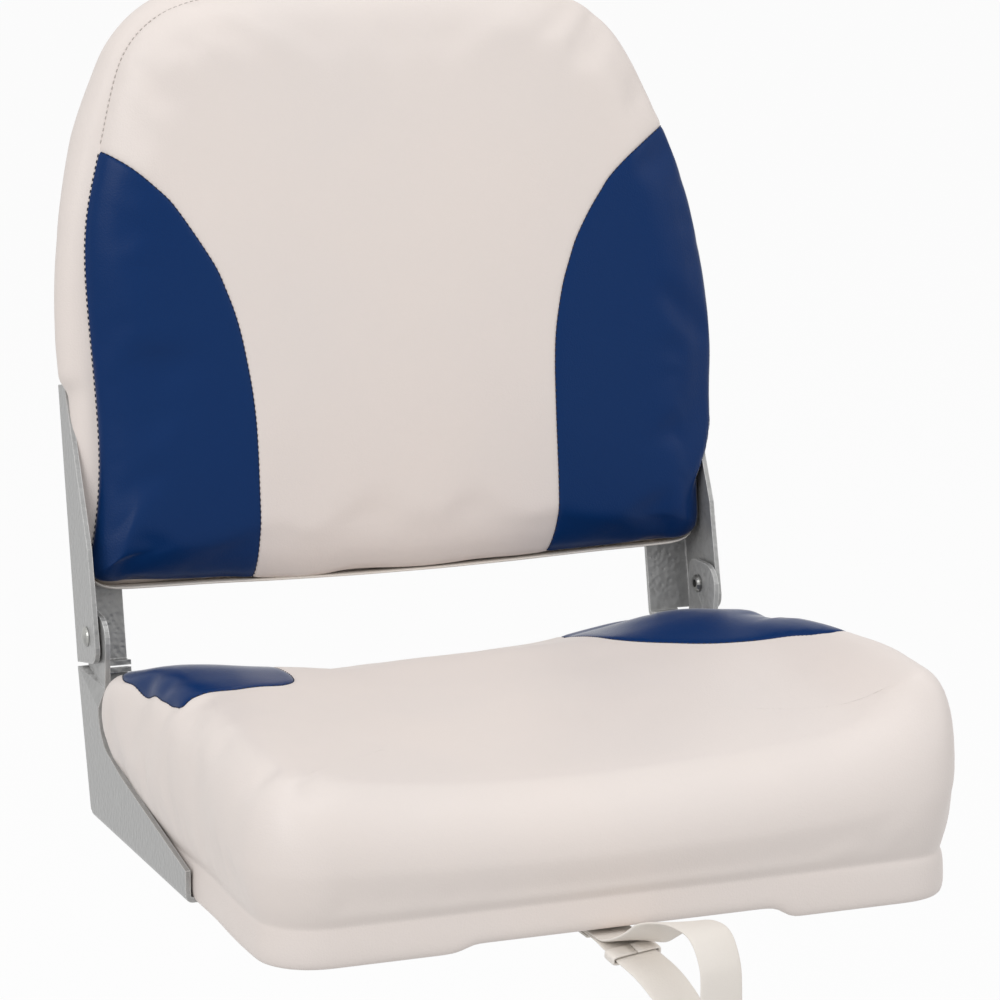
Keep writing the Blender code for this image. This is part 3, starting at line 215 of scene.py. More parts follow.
# Outer edge of the moulded back shell, whose lip shows under the cushion
SHELL_HALF = (
    (0, 22.9), (22, 22.7), (53, 23.3), (84, 23.8), (115, 25.0), (147, 25.6), (184, 26.0),
    (194, 27.4), (200, 33), (201, 44), (201, 80), (200.8, 120), (201, 160), (200.6, 196),
    (199.2, 221), (196.2, 248), (191.5, 274), (183.5, 302), (172, 327), (155, 348), (128.6, 364),
    (96, 372.6), (57, 376.5), (20, 377.2),
)


def mirrored(right, left, top):
    """Closed control outline from the half widths of its right and left halves."""
    left = [(-across, up) for across, up in reversed(left[1:])]
    return np.array(list(right) + [(0, top)] + left) * MM


def lifted(rows, lift=0.5):
    """Half widths with the bottom edge raised clear of the shell's lip."""
    return [(across, up + lift * smooth_share(45, 33, up)) for across, up in rows]


BACK_PLAN = Outline(closed_points(mirrored(lifted(BACK_RIGHT), lifted(BACK_LEFT), 380.5)), [
    (-197 * MM, 33 * MM), (198 * MM, 33 * MM), (142 * MM, 349 * MM), (-158 * MM, 355 * MM),
])
SHELL_PLAN = Outline(closed_points(mirrored(SHELL_HALF, SHELL_HALF, 377.3)), [
    (-198 * MM, 30 * MM), (198 * MM, 30 * MM), (150 * MM, 351 * MM), (-156 * MM, 347 * MM),
])


def link_mesh(name, bm):
    """Object in the scene from a finished bmesh, which is freed."""
    mesh = bpy.data.meshes.new(name)
    bm.to_mesh(mesh)
    bm.free()
    made = bpy.data.objects.new(name, mesh)
    bpy.context.scene.collection.objects.link(made)
    return made


def new_object(name, bm):
    """Object in the scene from a bmesh whose faces are turned outward first."""
    bmesh.ops.recalc_face_normals(bm, faces=bm.faces)
    return link_mesh(name, bm)


def dress(made, look, body, slot):
    """Gives a piece its finish, smooth shading and body; the slot argument is not used."""
    made.data.materials.clear()
    made.data.materials.append(look)
    for face in made.data.polygons:
        face.use_smooth = True
    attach(made, body)


def circle_ring(bm, count):
    """Closed ring of vertices in their order round a circle."""
    made = bmesh.ops.create_circle(bm, segments=count, radius=1.0, cap_ends=False)
    return sorted(made["verts"], key=lambda v: np.arctan2(v.co.y, v.co.x))


def ring_edges(bm, ring):
    """Edges of a closed ring of vertices."""
    return [bm.edges.get(pair) for pair in zip(ring, ring[1:] + ring[:1])]


def extrude_ring(bm, ring):
    """Extrudes a closed ring of vertices and returns the new ring in the same order."""
    made = bmesh.ops.extrude_edge_only(bm, edges=ring_edges(bm, ring))
    fresh = {item for item in made["geom"] if isinstance(item, bmesh.types.BMVert)}
    after = []
    for vertex in ring:
        others = [edge.other_vert(vertex) for edge in vertex.link_edges]
        after.append(next(other for other in others if other in fresh))
    return after


def border_shares(cells):
    """Side and share along it of each place round the border of a square grid."""
    return [(side, part) for side in range(4) for part in np.arange(cells) / cells]


def grid_face(bm, cells):
    """Square grid of faces: (vertex, share of the way out, side, share along it) rows.

    The rows of its border come a second time, in their order round it."""
    made = bmesh.ops.create_grid(bm, x_segments=cells, y_segments=cells, size=1.0)
    rows = []
    for vertex in made["verts"]:
        radius = max(abs(vertex.co.x), abs(vertex.co.y))
        scale = max(radius, 1e-6)
        u, v = vertex.co.x / scale, vertex.co.y / scale
        for side, (along, out) in enumerate(((u, -v), (v, u), (-u, v), (-v, -u))):
            if out >= 1 - 1e-6 and along < 1 - 1e-6:
                break
        rows.append((vertex, radius, side, (1 + along) / 2))
    border = sorted((row for row in rows if row[1] > 1 - 1e-6), key=lambda row: row[2] + row[3])
    return rows, border


# Reach over which a soft normal is taken from an outline
SOFT_REACH = 28 * MM


def loft_from_grid(outline, middle, cells, inset, place, rings, radial=False):
    """Grid over the inside of an outline, then rings out to its edge and beyond.

    place(point, normal, soft normal, level) gives a vertex's place in space; inside the grid
    its level is None and its share of the way out stands for the soft normal.
    rings are (offset, level) rows from the grid's border outward, and each vertex keeps its
    ring's number. The last ring comes back with the mesh."""
    bm = bmesh.new()
    number_layer = bm.verts.layers.float.new("ring")
    rows, border = grid_face(bm, cells)
    middle = np.array(middle)

    def outward(point, side, part):
        if radial:
            return (point - middle) / np.linalg.norm(point - middle)
        return outline.at(side, part, SOFT_REACH)[1]

    for vertex, radius, side, part in rows:
        point, normal = outline.at(side, part)
        edge = point - outward(point, side, part) * inset
        vertex.co = place(middle + (edge - middle) * radius, normal, radius, None)
    ring = [row[0] for row in border]
    for number, (offset, level) in enumerate(rings):
        ring = extrude_ring(bm, ring)
        deep = smooth_share(-2 * MM, -inset, offset)
        for vertex, (_, _, side, part) in zip(ring, border):
            point, normal = outline.at(side, part)
            soft = outward(point, side, part)
            vertex.co = place(point + blended(normal, soft, deep) * offset, normal, soft, level)
            vertex[number_layer] = number
    return bm, ring


# Frames of the cloth pass, and the most that it may move the cover
CLOTH_FRAMES = 20
PLUMP_CAP = 1.8 * MM


def plump(made, held):
    """Cloth pass: the cover swells a little over its foam between held seams."""
    scene = bpy.context.scene
    cover = made.copy()
    cover.data = made.data.copy()
    scene.collection.objects.link(cover)
    rest = np.array([vertex.co for vertex in made.data.vertices])
    rings = made.data.attributes["ring"].data
    pinned = [index for index, row in enumerate(rest) if held(row, rings[index].value)]
    cover.vertex_groups.new(name="held").add(pinned, 1.0, "REPLACE")
    cloth = cover.modifiers.new("cover", "CLOTH")
    rules = cloth.settings
    rules.quality = 6
    rules.mass = 0.4
    rules.tension_stiffness = rules.compression_stiffness = 18
    rules.bending_stiffness = 4
    rules.use_pressure = True
    rules.uniform_pressure_force = 4
    rules.effector_weights.gravity = 0
    rules.shrink_min = -0.012
    rules.vertex_group_mass = "held"
    cloth.point_cache.frame_start = 1
    cloth.point_cache.frame_end = CLOTH_FRAMES
    for number in range(1, CLOTH_FRAMES + 1):
        scene.frame_set(number)
    depsgraph = bpy.context.evaluated_depsgraph_get()
    swollen = cover.evaluated_get(depsgraph).to_mesh()
    moved = np.array([vertex.co for vertex in swollen.vertices]) - rest
    length = np.linalg.norm(moved, axis=1)
    moved *= (PLUMP_CAP * np.tanh(length / PLUMP_CAP) / np.maximum(length, 1e-9))[:, None]
    for vertex, step in zip(made.data.vertices, moved):
        vertex.co += Vector(step)
    bpy.data.objects.remove(cover)
    scene.frame_set(1)


def subdivide(made):
    """Bakes one level of smooth subdivision into a mesh."""
    smooth = made.modifiers.new("smooth", "SUBSURF")
    smooth.levels = smooth.render_levels = 1
    bpy.context.view_layer.update()
    depsgraph = bpy.context.evaluated_depsgraph_get()
    mesh = bpy.data.meshes.new_from_object(made.evaluated_get(depsgraph))
    old = made.data
    name = old.name
    made.modifiers.clear()
    made.data = mesh
    bpy.data.meshes.remove(old)
    mesh.name = name


def leaning(across, depth, up):
    """World place of a point in the backrest's leaning frame."""
    return Vector((across, HINGE.y + depth * cos(LEAN) + up * sin(LEAN),
                   HINGE.z - depth * sin(LEAN) + up * cos(LEAN)))


LEAN_FRAME = Matrix.Translation(HINGE) @ Matrix.Rotation(-LEAN, 4, "X")


# Heights of the cushion's top in millimetres: a row for each station along, front to rear
TOP_STATIONS_X = (-207, -195, -180, -160, -130, -100, -70, -35, 0, 40, 80, 110, 130, 160,
                  180, 195, 207)
TOP_ROWS = (
    (-185, (96, 96, 94, 90, 84, 81, 80, 79.5, 79.5, 80, 82, 85, 88, 98, 110, 118, 120)),
    (-171, (98, 98, 96, 92, 87, 84, 82.5, 82, 82, 82.5, 84.5, 87.5, 90.5, 101, 115, 123, 125)),
    (-151, (101, 101, 99.5, 96, 91, 88, 86, 85, 85, 86, 88, 91, 93.5, 104, 121, 129, 131)),
    (-110, (104, 104.5, 104, 101, 96, 92.5, 90.5, 89.5, 89.5, 90.5, 93, 95.5, 98, 109, 127,
            134, 136)),
    (-60, (106, 107, 107.5, 105.5, 101, 97.5, 95.5, 94.5, 94.5, 95, 97, 99.5, 102, 112, 129,
           134.5, 136)),
    (0, (107, 109, 110, 108.5, 105, 101, 99, 99, 99.5, 100, 101.5, 104, 107, 115, 125, 128.5,
         129.5)),
    (40, (108, 110.5, 112, 111, 107.5, 103.5, 100.5, 101, 101.5, 101.5, 102.5, 105.5, 108.5,
          115, 119.5, 121, 120.5)),
    (80, (104.5, 108.5, 111, 110, 106, 102.5, 99, 101, 102, 102.5, 103, 106.5, 110, 114,
          115, 113, 110)),
    (110, (101, 102.5, 103, 101.5, 98, 95.5, 91.5, 93, 94, 95, 97, 102.5, 107.5, 110, 107,
           102, 98)),
    (150, (91, 90, 88.5, 87, 85.5, 84, 81.5, 82, 83, 84, 86, 90, 92, 92, 88, 84, 81)),
    (169, (74, 75, 76.5, 77, 77, 76, 74, 74, 75, 76, 77, 80, 82, 82, 79, 76, 73)),
    (185, (66, 67, 68, 68, 68, 68, 67, 67, 67, 68, 69, 71, 73, 74, 73, 71, 69)),
)
TOP_STATIONS_Y, TOP_HEIGHTS = zip(*TOP_ROWS)
# How far the foam has sunk below those heights
TOP_SUNK = 1.0

# Height of the lower bracket's free edge along the seat, where the vinyl may stand out over it
PLATE_EDGE = ((-60, -20), (-26, 10), (26, 27), (66, 34), (107, 42), (129, 47), (140, 53),
              (150, 62), (154, 90), (160, 135), (240, 135))

# How far the side stands out over its hem inside the brackets' plates, in millimetres
BESIDE_PLATE = 1.2


def plate_edge(along):
    """Height of the lower bracket's free edge; both are in millimetres."""
    return np.interp(along, *np.transpose(PLATE_EDGE))


def seat_top(across, along):
    """Height of the cushion's top over a place in plan."""
    row = curve_through(TOP_STATIONS_Y, TOP_HEIGHTS, along / MM)
    return float(curve_through(TOP_STATIONS_X, row, across / MM) - TOP_SUNK) * MM


def seat_bulge(point, normal, height):
    """How far the side stands out over its hem: it stays inside the brackets' plates."""
    plate = plate_edge(point[1] / MM)
    beside = abs(normal[0]) * (1 - smooth_share(plate - 4, plate + 7, height / MM))
    corner = smooth_share(0.2, 0.95, -normal[0]) * smooth_share(100, 135, point[1] / MM)
    full = 7.0 - 2.0 * smooth_share(-0.2, 0.9, normal[0]) + corner
    return (full * (1 - beside) + BESIDE_PLATE * beside) * MM


# Middle of the seat's grid, and the inset of its border from the outline
SEAT_MIDDLE = (0, -2 * MM)
SHOULDER_INSET = 38 * MM
# Share of the wall's height at which it stands out most, and the inset of its foot
BULGE_SHARE = 0.42
WALL_FOOT = 2.0 * MM


def right_share(point, normal):
    """How far a place on the edge belongs to the tight shoulder of the right side."""
    return smooth_share(0.2, 0.95, normal[0]) * smooth_share(120, 60, point[1] / MM)


def crease_depth(point):
    """Depth of the crease over the hem: faint on the left, distinct on the right."""
    return (0.8 + 1.2 * smooth_share(60, 190, point[0] / MM)) * MM


def seat_place(point, normal, soft, level):
    """Place of a vertex of the seat's skin.

    Level None is the top inside the grid. Other levels climb from the crease up the wall
    (0 to 1), round the shoulder (to 2) and onto the top (to 3)."""
    across, along = point
    if level is None:
        return Vector((across, along, seat_top(across, along)))
    right = right_share(point, normal)
    left = smooth_share(0.2, 0.95, -normal[0])
    corner = left * smooth_share(70, 125, along / MM)
    reach = (30 - 12 * right - 9 * left - 7 * corner) * MM
    power = 1 - 0.2 * right - 0.2 * corner
    edge_top = seat_top(across - soft[0] * reach, along - soft[1] * reach)
    fullest = CREASE_Z + (edge_top - CREASE_Z) * (BULGE_SHARE + 0.26 * corner)
    turn = min(max(level - 1, 0), 1) * pi / 2
    if level <= 1:
        height = CREASE_Z + (fullest - CREASE_Z) * (1 - (1 - level) ** 1.35)
    else:
        height = fullest + (edge_top - fullest) * sin(turn) ** power
    swell = seat_bulge(point, normal, height) + WALL_FOOT
    step = swell * sin(min(level, 1) * pi / 2) ** 0.65
    step += (WALL_FOOT - crease_depth(point)) * max(1 - level, 0)
    if level > 1:
        step -= (reach + swell - WALL_FOOT) * (1 - cos(turn) ** power)
    if level >= 2:
        step = WALL_FOOT - reach - (SHOULDER_INSET - reach) * (level - 2)
    turned = blended(normal, soft, smooth_share(0, -SHOULDER_INSET, step))
    across, along = point + turned * step
    if level >= 2:
        height = seat_top(across, along)
    return Vector((across, along, height))


# Levels of the seat's rings, from the top's grid down to the crease
SEAT_LEVELS = (2.5, 2.0, 1.9, 1.8, 1.68, 1.55, 1.4, 1.2, 1.0, 0.8, 0.6, 0.42, 0.26, 0.14, 0.05)
# Rings of the hem from the crease down and under, in millimetres: offset outward and height
HEM_ROWS = ((-1.9, 24.0), (-1.0, 22.6), (-0.1, 20), (0.4, 14), (0.6, 7.5), (0.2, 3.0),
            (-1.2, 0.6), (-4.0, -0.2), (-12, 0.6), (-23, 2.0))
# Height above which those offsets follow the depth of the crease
CREASE_FOOT = 21


def make_seat_skin():
    """Seat cushion skin: top grid, shoulder, wall, crease, hem band and the hem underneath."""
    rings = [(-WALL_FOOT, level) for level in SEAT_LEVELS]
    bm, ring = loft_from_grid(SEAT_PLAN, SEAT_MIDDLE, COVER_CELLS, SHOULDER_INSET, seat_place,
                              rings)
    number_layer = bm.verts.layers.float["ring"]
    for offset, height in HEM_ROWS:
        ring = extrude_ring(bm, ring)
        for vertex, (side, part) in zip(ring, border_shares(COVER_CELLS)):
            point, normal = SEAT_PLAN.at(side, part)
            share = crease_depth(point) / WALL_FOOT if height > CREASE_FOOT else 1
            spot = point + normal * offset * share * MM
            low = hem_lift(spot) * smooth_share(16, 3, height)
            vertex.co = Vector((spot[0], spot[1], (height + low) * MM))
            vertex[number_layer] = len(SEAT_LEVELS)
    return new_object("seat_cover_vinyl", bm)


def hem_lift(spot):
    """Rise of the hem's underside in millimetres: highest in the middle of the front."""
    across, along = spot / MM
    front = smooth_share(-120, -165, along)
    middle = smooth_share(98, 92, abs(across))
    right = smooth_share(85, 100, across)
    return front * (4.0 * middle + 1.0 - 2.6 * right)


def seam_depth(up):
    """Depth of the backrest's seam behind the hinge's plane at a height."""
    return SEAM_FOOT - SEAM_TILT * up


# Right swell of the front panel against its height: depth of its middle, size and width
OVERHANG = ((40, 16.5, 0, 3), (60, 16.5, 3, 3), (70, 14.5, 8, 3), (78, 13, 11.5, 3.2),
            (90, 11, 12.5, 3.4), (103, 8.4, 11.5, 3.6), (115, 7, 9.0, 3.8), (130, 6, 7.2, 4.2),
            (155, 5.6, 7.2, 4.2), (260, 5.6, 7.4, 4.2), (400, 5.6, 8.6, 4.2))


def back_overhang(point, depth):
    """How far the front panel swells past its seam: most on the right, low down in front."""
    across, up = point / MM
    height, *rows = np.transpose(OVERHANG)
    middle, size, width = (np.interp(up, height, row) for row in rows)
    return smooth_share(60, 150, across) * size * np.exp(-((depth - middle) / width) ** 2) * MM


# Inset of the front panel's crown; in millimetres, the crown's height in front of the seam at
# its edge, its further rise in the middle, and the profile as offset outward and height
FRONT_INSET = 26 * MM
CROWN_EDGE = 18.4
CROWN_RISE = 3.6
FRONT_PROFILE = ((-20.5, 17.6), (-15, 16.3), (-9.5, 14.1), (-5, 11.0), (-1.8, 8.3), (0.0, 5.6),
                 (0.5, 3.4), (0.5, 1.7), (0.0, 0.5), (-1.4, -0.4))


def back_front_place(point, normal, soft, level):
    """Place of a vertex of the front panel; its level is its height in front of the seam."""
    across, up = point
    if level is None:
        reach = (((across / MM - 3) / 181) ** 6 + ((up / MM - 200) / 169) ** 6) ** (1 / 3)
        depth = (CROWN_EDGE + CROWN_RISE * (1 - reach) * (1 - soft ** 4)) * MM
    else:
        point = point + normal * back_overhang(point, level)
        across, up = point
        depth = level * MM
    return leaning(across, seam_depth(up) - depth, up)


def make_back_front():
    """Front panel of the backrest, from its crown to the seam round its edge."""
    rings = [(offset * MM, depth) for offset, depth in FRONT_PROFILE]
    bm, _ = loft_from_grid(BACK_PLAN, BACK_MIDDLE, COVER_CELLS, FRONT_INSET, back_front_place,
                           rings, radial=True)
    return new_object("back_cover_vinyl", bm)


# Left swell of the side band against its height: inside the plate, then over its top end
BAND_SWELL_LEFT = ((20, 0.5), (40, 1.0), (60, 6.5), (95, 11.2), (130, 11.2), (149, 10.4),
                   (155, 16.5), (178, 16.8), (203, 15.6), (238, 13.2), (262, 13.2), (298, 14.2),
                   (333, 11.6), (355, 13.0), (370, 14.5), (381, 16))
BAND_SWELL_RIGHT = ((20, 0.4), (60, 0.8), (130, 1.2), (154, 1.6), (180, 3.0), (230, 4.0),
                    (300, 5.0), (345, 5.5), (370, 8.0), (381, 8.6))


def back_swell(point):
    """How far the side band stands out at a place on the outline."""
    up = point[1] / MM
    left = np.interp(up, *np.transpose(BAND_SWELL_LEFT))
    right = np.interp(up, *np.transpose(BAND_SWELL_RIGHT))
    side = smooth_share(-40, 40, point[0] / MM)
    bottom = smooth_share(40, 32, up)
    return (left * (1 - side) + right * side) * (1 - bottom)


# Shares of the way from the seam to the rim for the band's rings, and, in millimetres, how far
# the band is tucked in beyond the seam and beyond the rim and lies inside the rim
BAND_SHARES = (-0.06, 0.0, 0.05, 0.14, 0.26, 0.4, 0.55, 0.7, 0.84, 0.94, 1.0, 1.14)
SEAM_TUCK = -1.6
RIM_TUCK = -1.5
RIM_INSET = 3.0


def make_back_band():
    """Side band of the backrest, from the seam back to the tuck inside the shell's rim."""
    bm = bmesh.new()
    border = border_shares(COVER_CELLS)
    ring = circle_ring(bm, len(border))
    for number, share in enumerate(BAND_SHARES):
        if number:
            ring = extrude_ring(bm, ring)
        part_way = min(max(share, 0), 1)
        for vertex, (side, part) in zip(ring, border):
            point, normal = BACK_PLAN.at(side, part)
            rim, rim_normal = SHELL_PLAN.at(side, part)
            rim = rim - rim_normal * RIM_INSET * MM
            along = max(share, 0) ** 1.3
            swell = back_swell(point) * max(sin(pi * part_way ** 0.8), 0) ** 0.7
            if share < 0:
                swell = SEAM_TUCK
            elif share > 1:
                swell = RIM_TUCK
            spot = point * (1 - along) + rim * along + normal * swell * MM
            start = seam_depth(point[1])
            vertex.co = leaning(spot[0], start + (RIM_FRONT - start) * share, spot[1])
    return new_object("back_side_vinyl", bm)


# Inset of the moulded shell's field; in millimetres, how far its lip comes forward under the
# cushion's bottom edge, the field's depth, and the profile as offset outward and depth
SHELL_INSET = 42 * MM
LIP_AHEAD = 8.0
FIELD_DEPTH = 23.8
SHELL_PROFILE = (
    (-36, FIELD_DEPTH), (-33.5, 24.0), (-31.5, 25.0), (-29, 25.2), (-13, 25.2), (-8.0, 25.1),
    (-4.6, 24.4), (-2.2, 22.9), (-0.7, 20.6), (-0.1, 18.0), (0.0, 15.4), (0.0, 13.6),
    (-0.1, 12.0), (-0.5, 11.3), (-1.1, 11.4), (-1.5, 12.2), (-1.9, 14.5), (-3.4, 19.0),
)


def shell_place(point, normal, soft, level):
    """Place of a vertex of the shell; its level is its depth behind the hinge's plane."""
    depth = FIELD_DEPTH if level is None else level
    ahead = LIP_AHEAD * smooth_share(44, 31, point[1] / MM) * smooth_share(19, 14, depth)
    return leaning(point[0], (depth - ahead) * MM, point[1])


def make_back_shell():
    """Moulded shell behind the cushion: rounded lip, wall and a flat back with a pressed field."""
    rings = [(offset * MM, depth) for offset, depth in SHELL_PROFILE]
    bm, _ = loft_from_grid(SHELL_PLAN, BACK_MIDDLE, SHELL_CELLS, SHELL_INSET, shell_place,
                           rings, radial=True)
    return new_object("back_shell_moulding", bm)


# Seam between two vinyls: field values that the mesh is cut along, how near to a cut a vertex
# is moved off it, and the depth and half width of the groove
CUT_VALUES = (-1.6 * MM, 1.6 * MM, -0.7 * MM, 0.7 * MM, 0.0)
CUT_CLEARANCE = 0.02 * MM
GROOVE_DEPTH = 0.9 * MM
GROOVE_WIDTH = 3.2 * MM


def cut_field(bm, value):
    """Cuts the mesh along a line where a vertex field has a value, with new vertices on it."""
    store = bm.verts.layers.float["field"]
    for vertex in bm.verts:
        if abs(vertex[store] - value) < CUT_CLEARANCE:
            vertex[store] = value + CUT_CLEARANCE
    crossed = [edge for edge in bm.edges
               if (edge.verts[0][store] - value) * (edge.verts[1][store] - value) < 0]
    fresh = set()
    for edge in crossed:
        first, second = edge.verts
        part = (value - first[store]) / (second[store] - first[store])
        _, vertex = bmesh.utils.edge_split(edge, first, part)
        vertex[store] = value
        fresh.add(vertex)
    for face in list({face for vertex in fresh for face in vertex.link_faces}):
        on_line = [vertex for vertex in face.verts if vertex in fresh]
        if len(on_line) == 2:
            bmesh.utils.face_split(face, on_line[0], on_line[1])


def split_by_field(made, measure, rest_name, inside_name):
    """Cuts a skin into the piece where a measure is below zero and the rest, grooved between."""
    bm = bmesh.new()
    bm.from_mesh(made.data)
    store = bm.verts.layers.float.get("field") or bm.verts.layers.float.new("field")
    for vertex in bm.verts:
        vertex[store] = measure(vertex.co)
    for value in CUT_VALUES:
        cut_field(bm, value)
    bm.normal_update()
    for vertex in bm.verts:
        gap = abs(vertex[store])
        if gap < GROOVE_WIDTH:
            vertex.co -= vertex.normal * GROOVE_DEPTH * (1 - gap / GROOVE_WIDTH) ** 2
    pieces = []
    for name, inside in ((rest_name, False), (inside_name, True)):
        part = bm.copy()
        layer = part.verts.layers.float["field"]
        wrong = [face for face in part.faces
                 if (sum(vertex[layer] for vertex in face.verts) < 0) != inside]
        bmesh.ops.delete(part, geom=wrong, context="FACES")
        pieces.append(link_mesh(name, part))
    bm.free()
    bpy.data.objects.remove(made)
    return pieces


# Inner edges of the blue backrest panels: height and distance from the middle
BACK_PATCH = {
    -1: ((20, 97), (38, 96.3), (60, 95.8), (86, 96.1), (104, 96.4), (123, 97.2), (141, 98.9),
         (159, 101.7), (174, 104.5), (189, 108.5), (201, 112.8), (214, 118.1), (226, 125.1),
         (238, 132.8), (247, 138.8), (257, 146.4), (264, 153.7), (271.5, 161.9), (276.5, 167.6),
         (284.3, 177.6), (288.4, 183), (300, 198), (320, 222)),
    1: ((20, 97), (32, 97.6), (41, 98.6), (54, 99.1), (73, 99.1), (91, 98.6), (110, 98.1),
        (129, 97.9), (147, 98), (166, 99.3), (181, 101.8), (196, 105.2), (208, 109.2),
        (221, 114.1), (232, 120), (242, 126.2), (250, 131.9), (258, 137.8), (265, 145),
        (271, 152), (279.3, 163.6), (284.3, 171.3), (300, 196), (320, 224)),
}

# Edges of the blue seat panels in plan, outer edge first, and the height they reach down to
PANEL_FOOT = 64 * MM
SEAT_PATCH = {
    -1: ((-176, 200), (-184, 165), (-194, 134), (-200.5, 112), (-199.5, 97), (-197.8, 80),
         (-197, 62), (-196.2, 40.4), (-195, 27), (-193.9, 18.4), (-193.2, 16.8), (-191.6, 17.2),
         (-189.4, 17.2), (-182.4, 15), (-168, 14.9), (-146, 22.9), (-129, 28), (-120, 37),
         (-116.5, 50), (-116.5, 72), (-117, 110), (-118, 150), (-118, 200)),
    1: ((92, 200), (91.6, 150), (91.3, 108), (91, 88), (93.8, 73), (101, 61.5), (109.4, 52),
        (121, 39.9), (131.7, 27.6), (140.5, 18.1), (149.2, 9.5), (160, -3), (168.8, -18.5),
        (175.5, -37), (185, -52), (197, -47), (200, -20), (200, 40), (199, 95),
        (198, 140), (198, 200)),
}


def back_insert_distance(side):
    """Signed distance to the edge of a blue backrest panel: negative inside it."""
    inverse = LEAN_FRAME.inverted()
    heights, edges = np.transpose(BACK_PATCH[side])

    def measure(co):
        spot = inverse @ co / MM
        low, here, high = curve_through(heights, edges, np.array([-1, 0, 1]) + spot.z)
        return (here - side * spot.x) / np.hypot(1, (high - low) / 2) * MM

    return measure


def seat_insert_distance(side):
    """Signed distance to the edge of a blue seat panel: negative inside it."""
    corners = np.array(SEAT_PATCH[side], float)
    stations = running_length(corners)
    line = curve_through(stations, corners, np.linspace(0, stations[-1], 160))
    start, step = line[:-1], np.diff(line, axis=0)
    square = (step ** 2).sum(axis=1)

    def measure(co):
        spot = np.array([co.x, co.y]) / MM
        part = np.clip(((spot - start) * step).sum(axis=1) / square, 0, 1)
        away = spot - start - step * part[:, None]
        distance = np.hypot(*away.T)
        nearest = np.argmin(distance)
        turn = step[nearest][0] * away[nearest][1] - step[nearest][1] * away[nearest][0]
        flat = -distance[nearest] if turn > 0 else distance[nearest]
        return max(flat * MM, PANEL_FOOT - co.z)

    return measure


def cut_chains(made):
    """Chains of (place, normal) rows along the cut edges of a piece."""
    bm = bmesh.new()
    bm.from_mesh(made.data)
    bm.normal_update()
    store = bm.verts.layers.float["field"]
    left = {edge for edge in bm.edges if len(edge.link_faces) == 1
            and all(abs(vertex[store]) < 1e-7 for vertex in edge.verts)}
    chains = []
    while left:
        edge = min(left, key=lambda e: (round(e.verts[0].co.z, 5), e.verts[0].co.x))
        ends = [v for e in left for v in e.verts
                if sum(other in left for other in v.link_edges) == 1]
        chain = [min(ends, key=lambda v: (v.co.z, v.co.x)) if ends else edge.verts[0]]
        while True:
            onward = next((e for e in chain[-1].link_edges if e in left), None)
            if onward is None:
                break
            left.remove(onward)
            chain.append(onward.other_vert(chain[-1]))
        chains.append([(v.co.copy(), v.normal.copy()) for v in chain])
    bm.free()
    return chains


# Thread stitches: pitch, length and radius, and how far they lie beside and over their chain
STITCH_PITCH = 3.6 * MM
STITCH_LENGTH = 2.4 * MM
STITCH_RADIUS = 0.4 * MM
STITCH_ASIDE = 0.35 * MM
STITCH_LIFT = 0.12 * MM


def stitch_row(name, chain, look, body, slot, measure=None):
    """Row of short thread stitches along a chain of (place, normal) rows.

    With a measure the row runs aside from the chain, where the measure is below zero."""
    places, normals = (np.array(column) for column in zip(*chain))
    lengths = running_length(places)

    def at(where, rows):
        return np.array([np.interp(where, lengths, column) for column in rows.T])

    bm = bmesh.new()
    for index in range(int(lengths[-1] / STITCH_PITCH)):
        here = (index + 0.5) * STITCH_PITCH
        spot = Vector(at(here, places))
        step = at(here + STITCH_PITCH / 3, places) - at(here - STITCH_PITCH / 3, places)
        along = Vector(step).normalized()
        side = along.cross(Vector(at(here, normals)).normalized()).normalized()
        shift = 0.0
        if measure is not None:
            shift = STITCH_ASIDE if measure(spot + side * STITCH_ASIDE) < 0 else -STITCH_ASIDE
        up = side.cross(along)
        turn = Matrix((side, along, up)).transposed().to_4x4()
        centre = spot + up * STITCH_LIFT + side * shift
        shape = Matrix.Diagonal((STITCH_RADIUS, STITCH_LENGTH / 2, STITCH_RADIUS, 1))
        bmesh.ops.create_uvsphere(bm, u_segments=6, v_segments=4, radius=1.0,
                                  matrix=Matrix.Translation(centre) @ turn @ shape)
    dress(new_object(name, bm), look, body, slot)


# Places taken round the backrest's outline for its seam, and how far outside and in front of
# it the stitches lie; the fewest rows of a chain that is stitched, there and on the panels
SEAM_PLACES = 900
SEAM_OUT = 0.4 * MM
SEAM_AHEAD = 0.9
SEAM_SHORTEST = 4
PANEL_SHORTEST = 12


def seam_rows():
    """Chain of (place, normal) rows just in front of the seam, up one side and down the other."""
    rows = []
    for index in range(SEAM_PLACES // 4, SEAM_PLACES):
        side, part = divmod(4 * index / SEAM_PLACES, 1)
        point, normal = BACK_PLAN.at(int(side), part)
        spot = back_front_place(point + normal * SEAM_OUT, normal, normal, SEAM_AHEAD)
        rows.append((spot, leaning(normal[0], -0.35, normal[1]) - leaning(0, 0, 0)))
    return rows


def stitch_round_back():
    """Stitches along the backrest's seam: navy on the blue panels, pale on the white."""
    left, right = back_insert_distance(-1), back_insert_distance(1)
    runs = []
    for row in seam_rows():
        blue = left(row[0]) < 0 or right(row[0]) < 0
        if not runs or runs[-1][0] != blue:
            runs.append((blue, []))
        runs[-1][1].append(row)
    for number, (blue, chain) in enumerate(runs):
        if len(chain) > SEAM_SHORTEST:
            look, slot = (NAVY_THREAD, "blue_vinyl") if blue else (PALE_THREAD, "white_vinyl")
            stitch_row(f"back_seam_stitches_{number}", chain, look, "backrest", slot)


# Finishes
def feed(tree, made, inputs):
    """Links the inputs of a node that are given as sockets, and sets the others."""
    for key, value in inputs.items():
        if isinstance(value, bpy.types.NodeSocket):
            tree.links.new(value, made.inputs[key])
        else:
            made.inputs[key].default_value = value
    return made


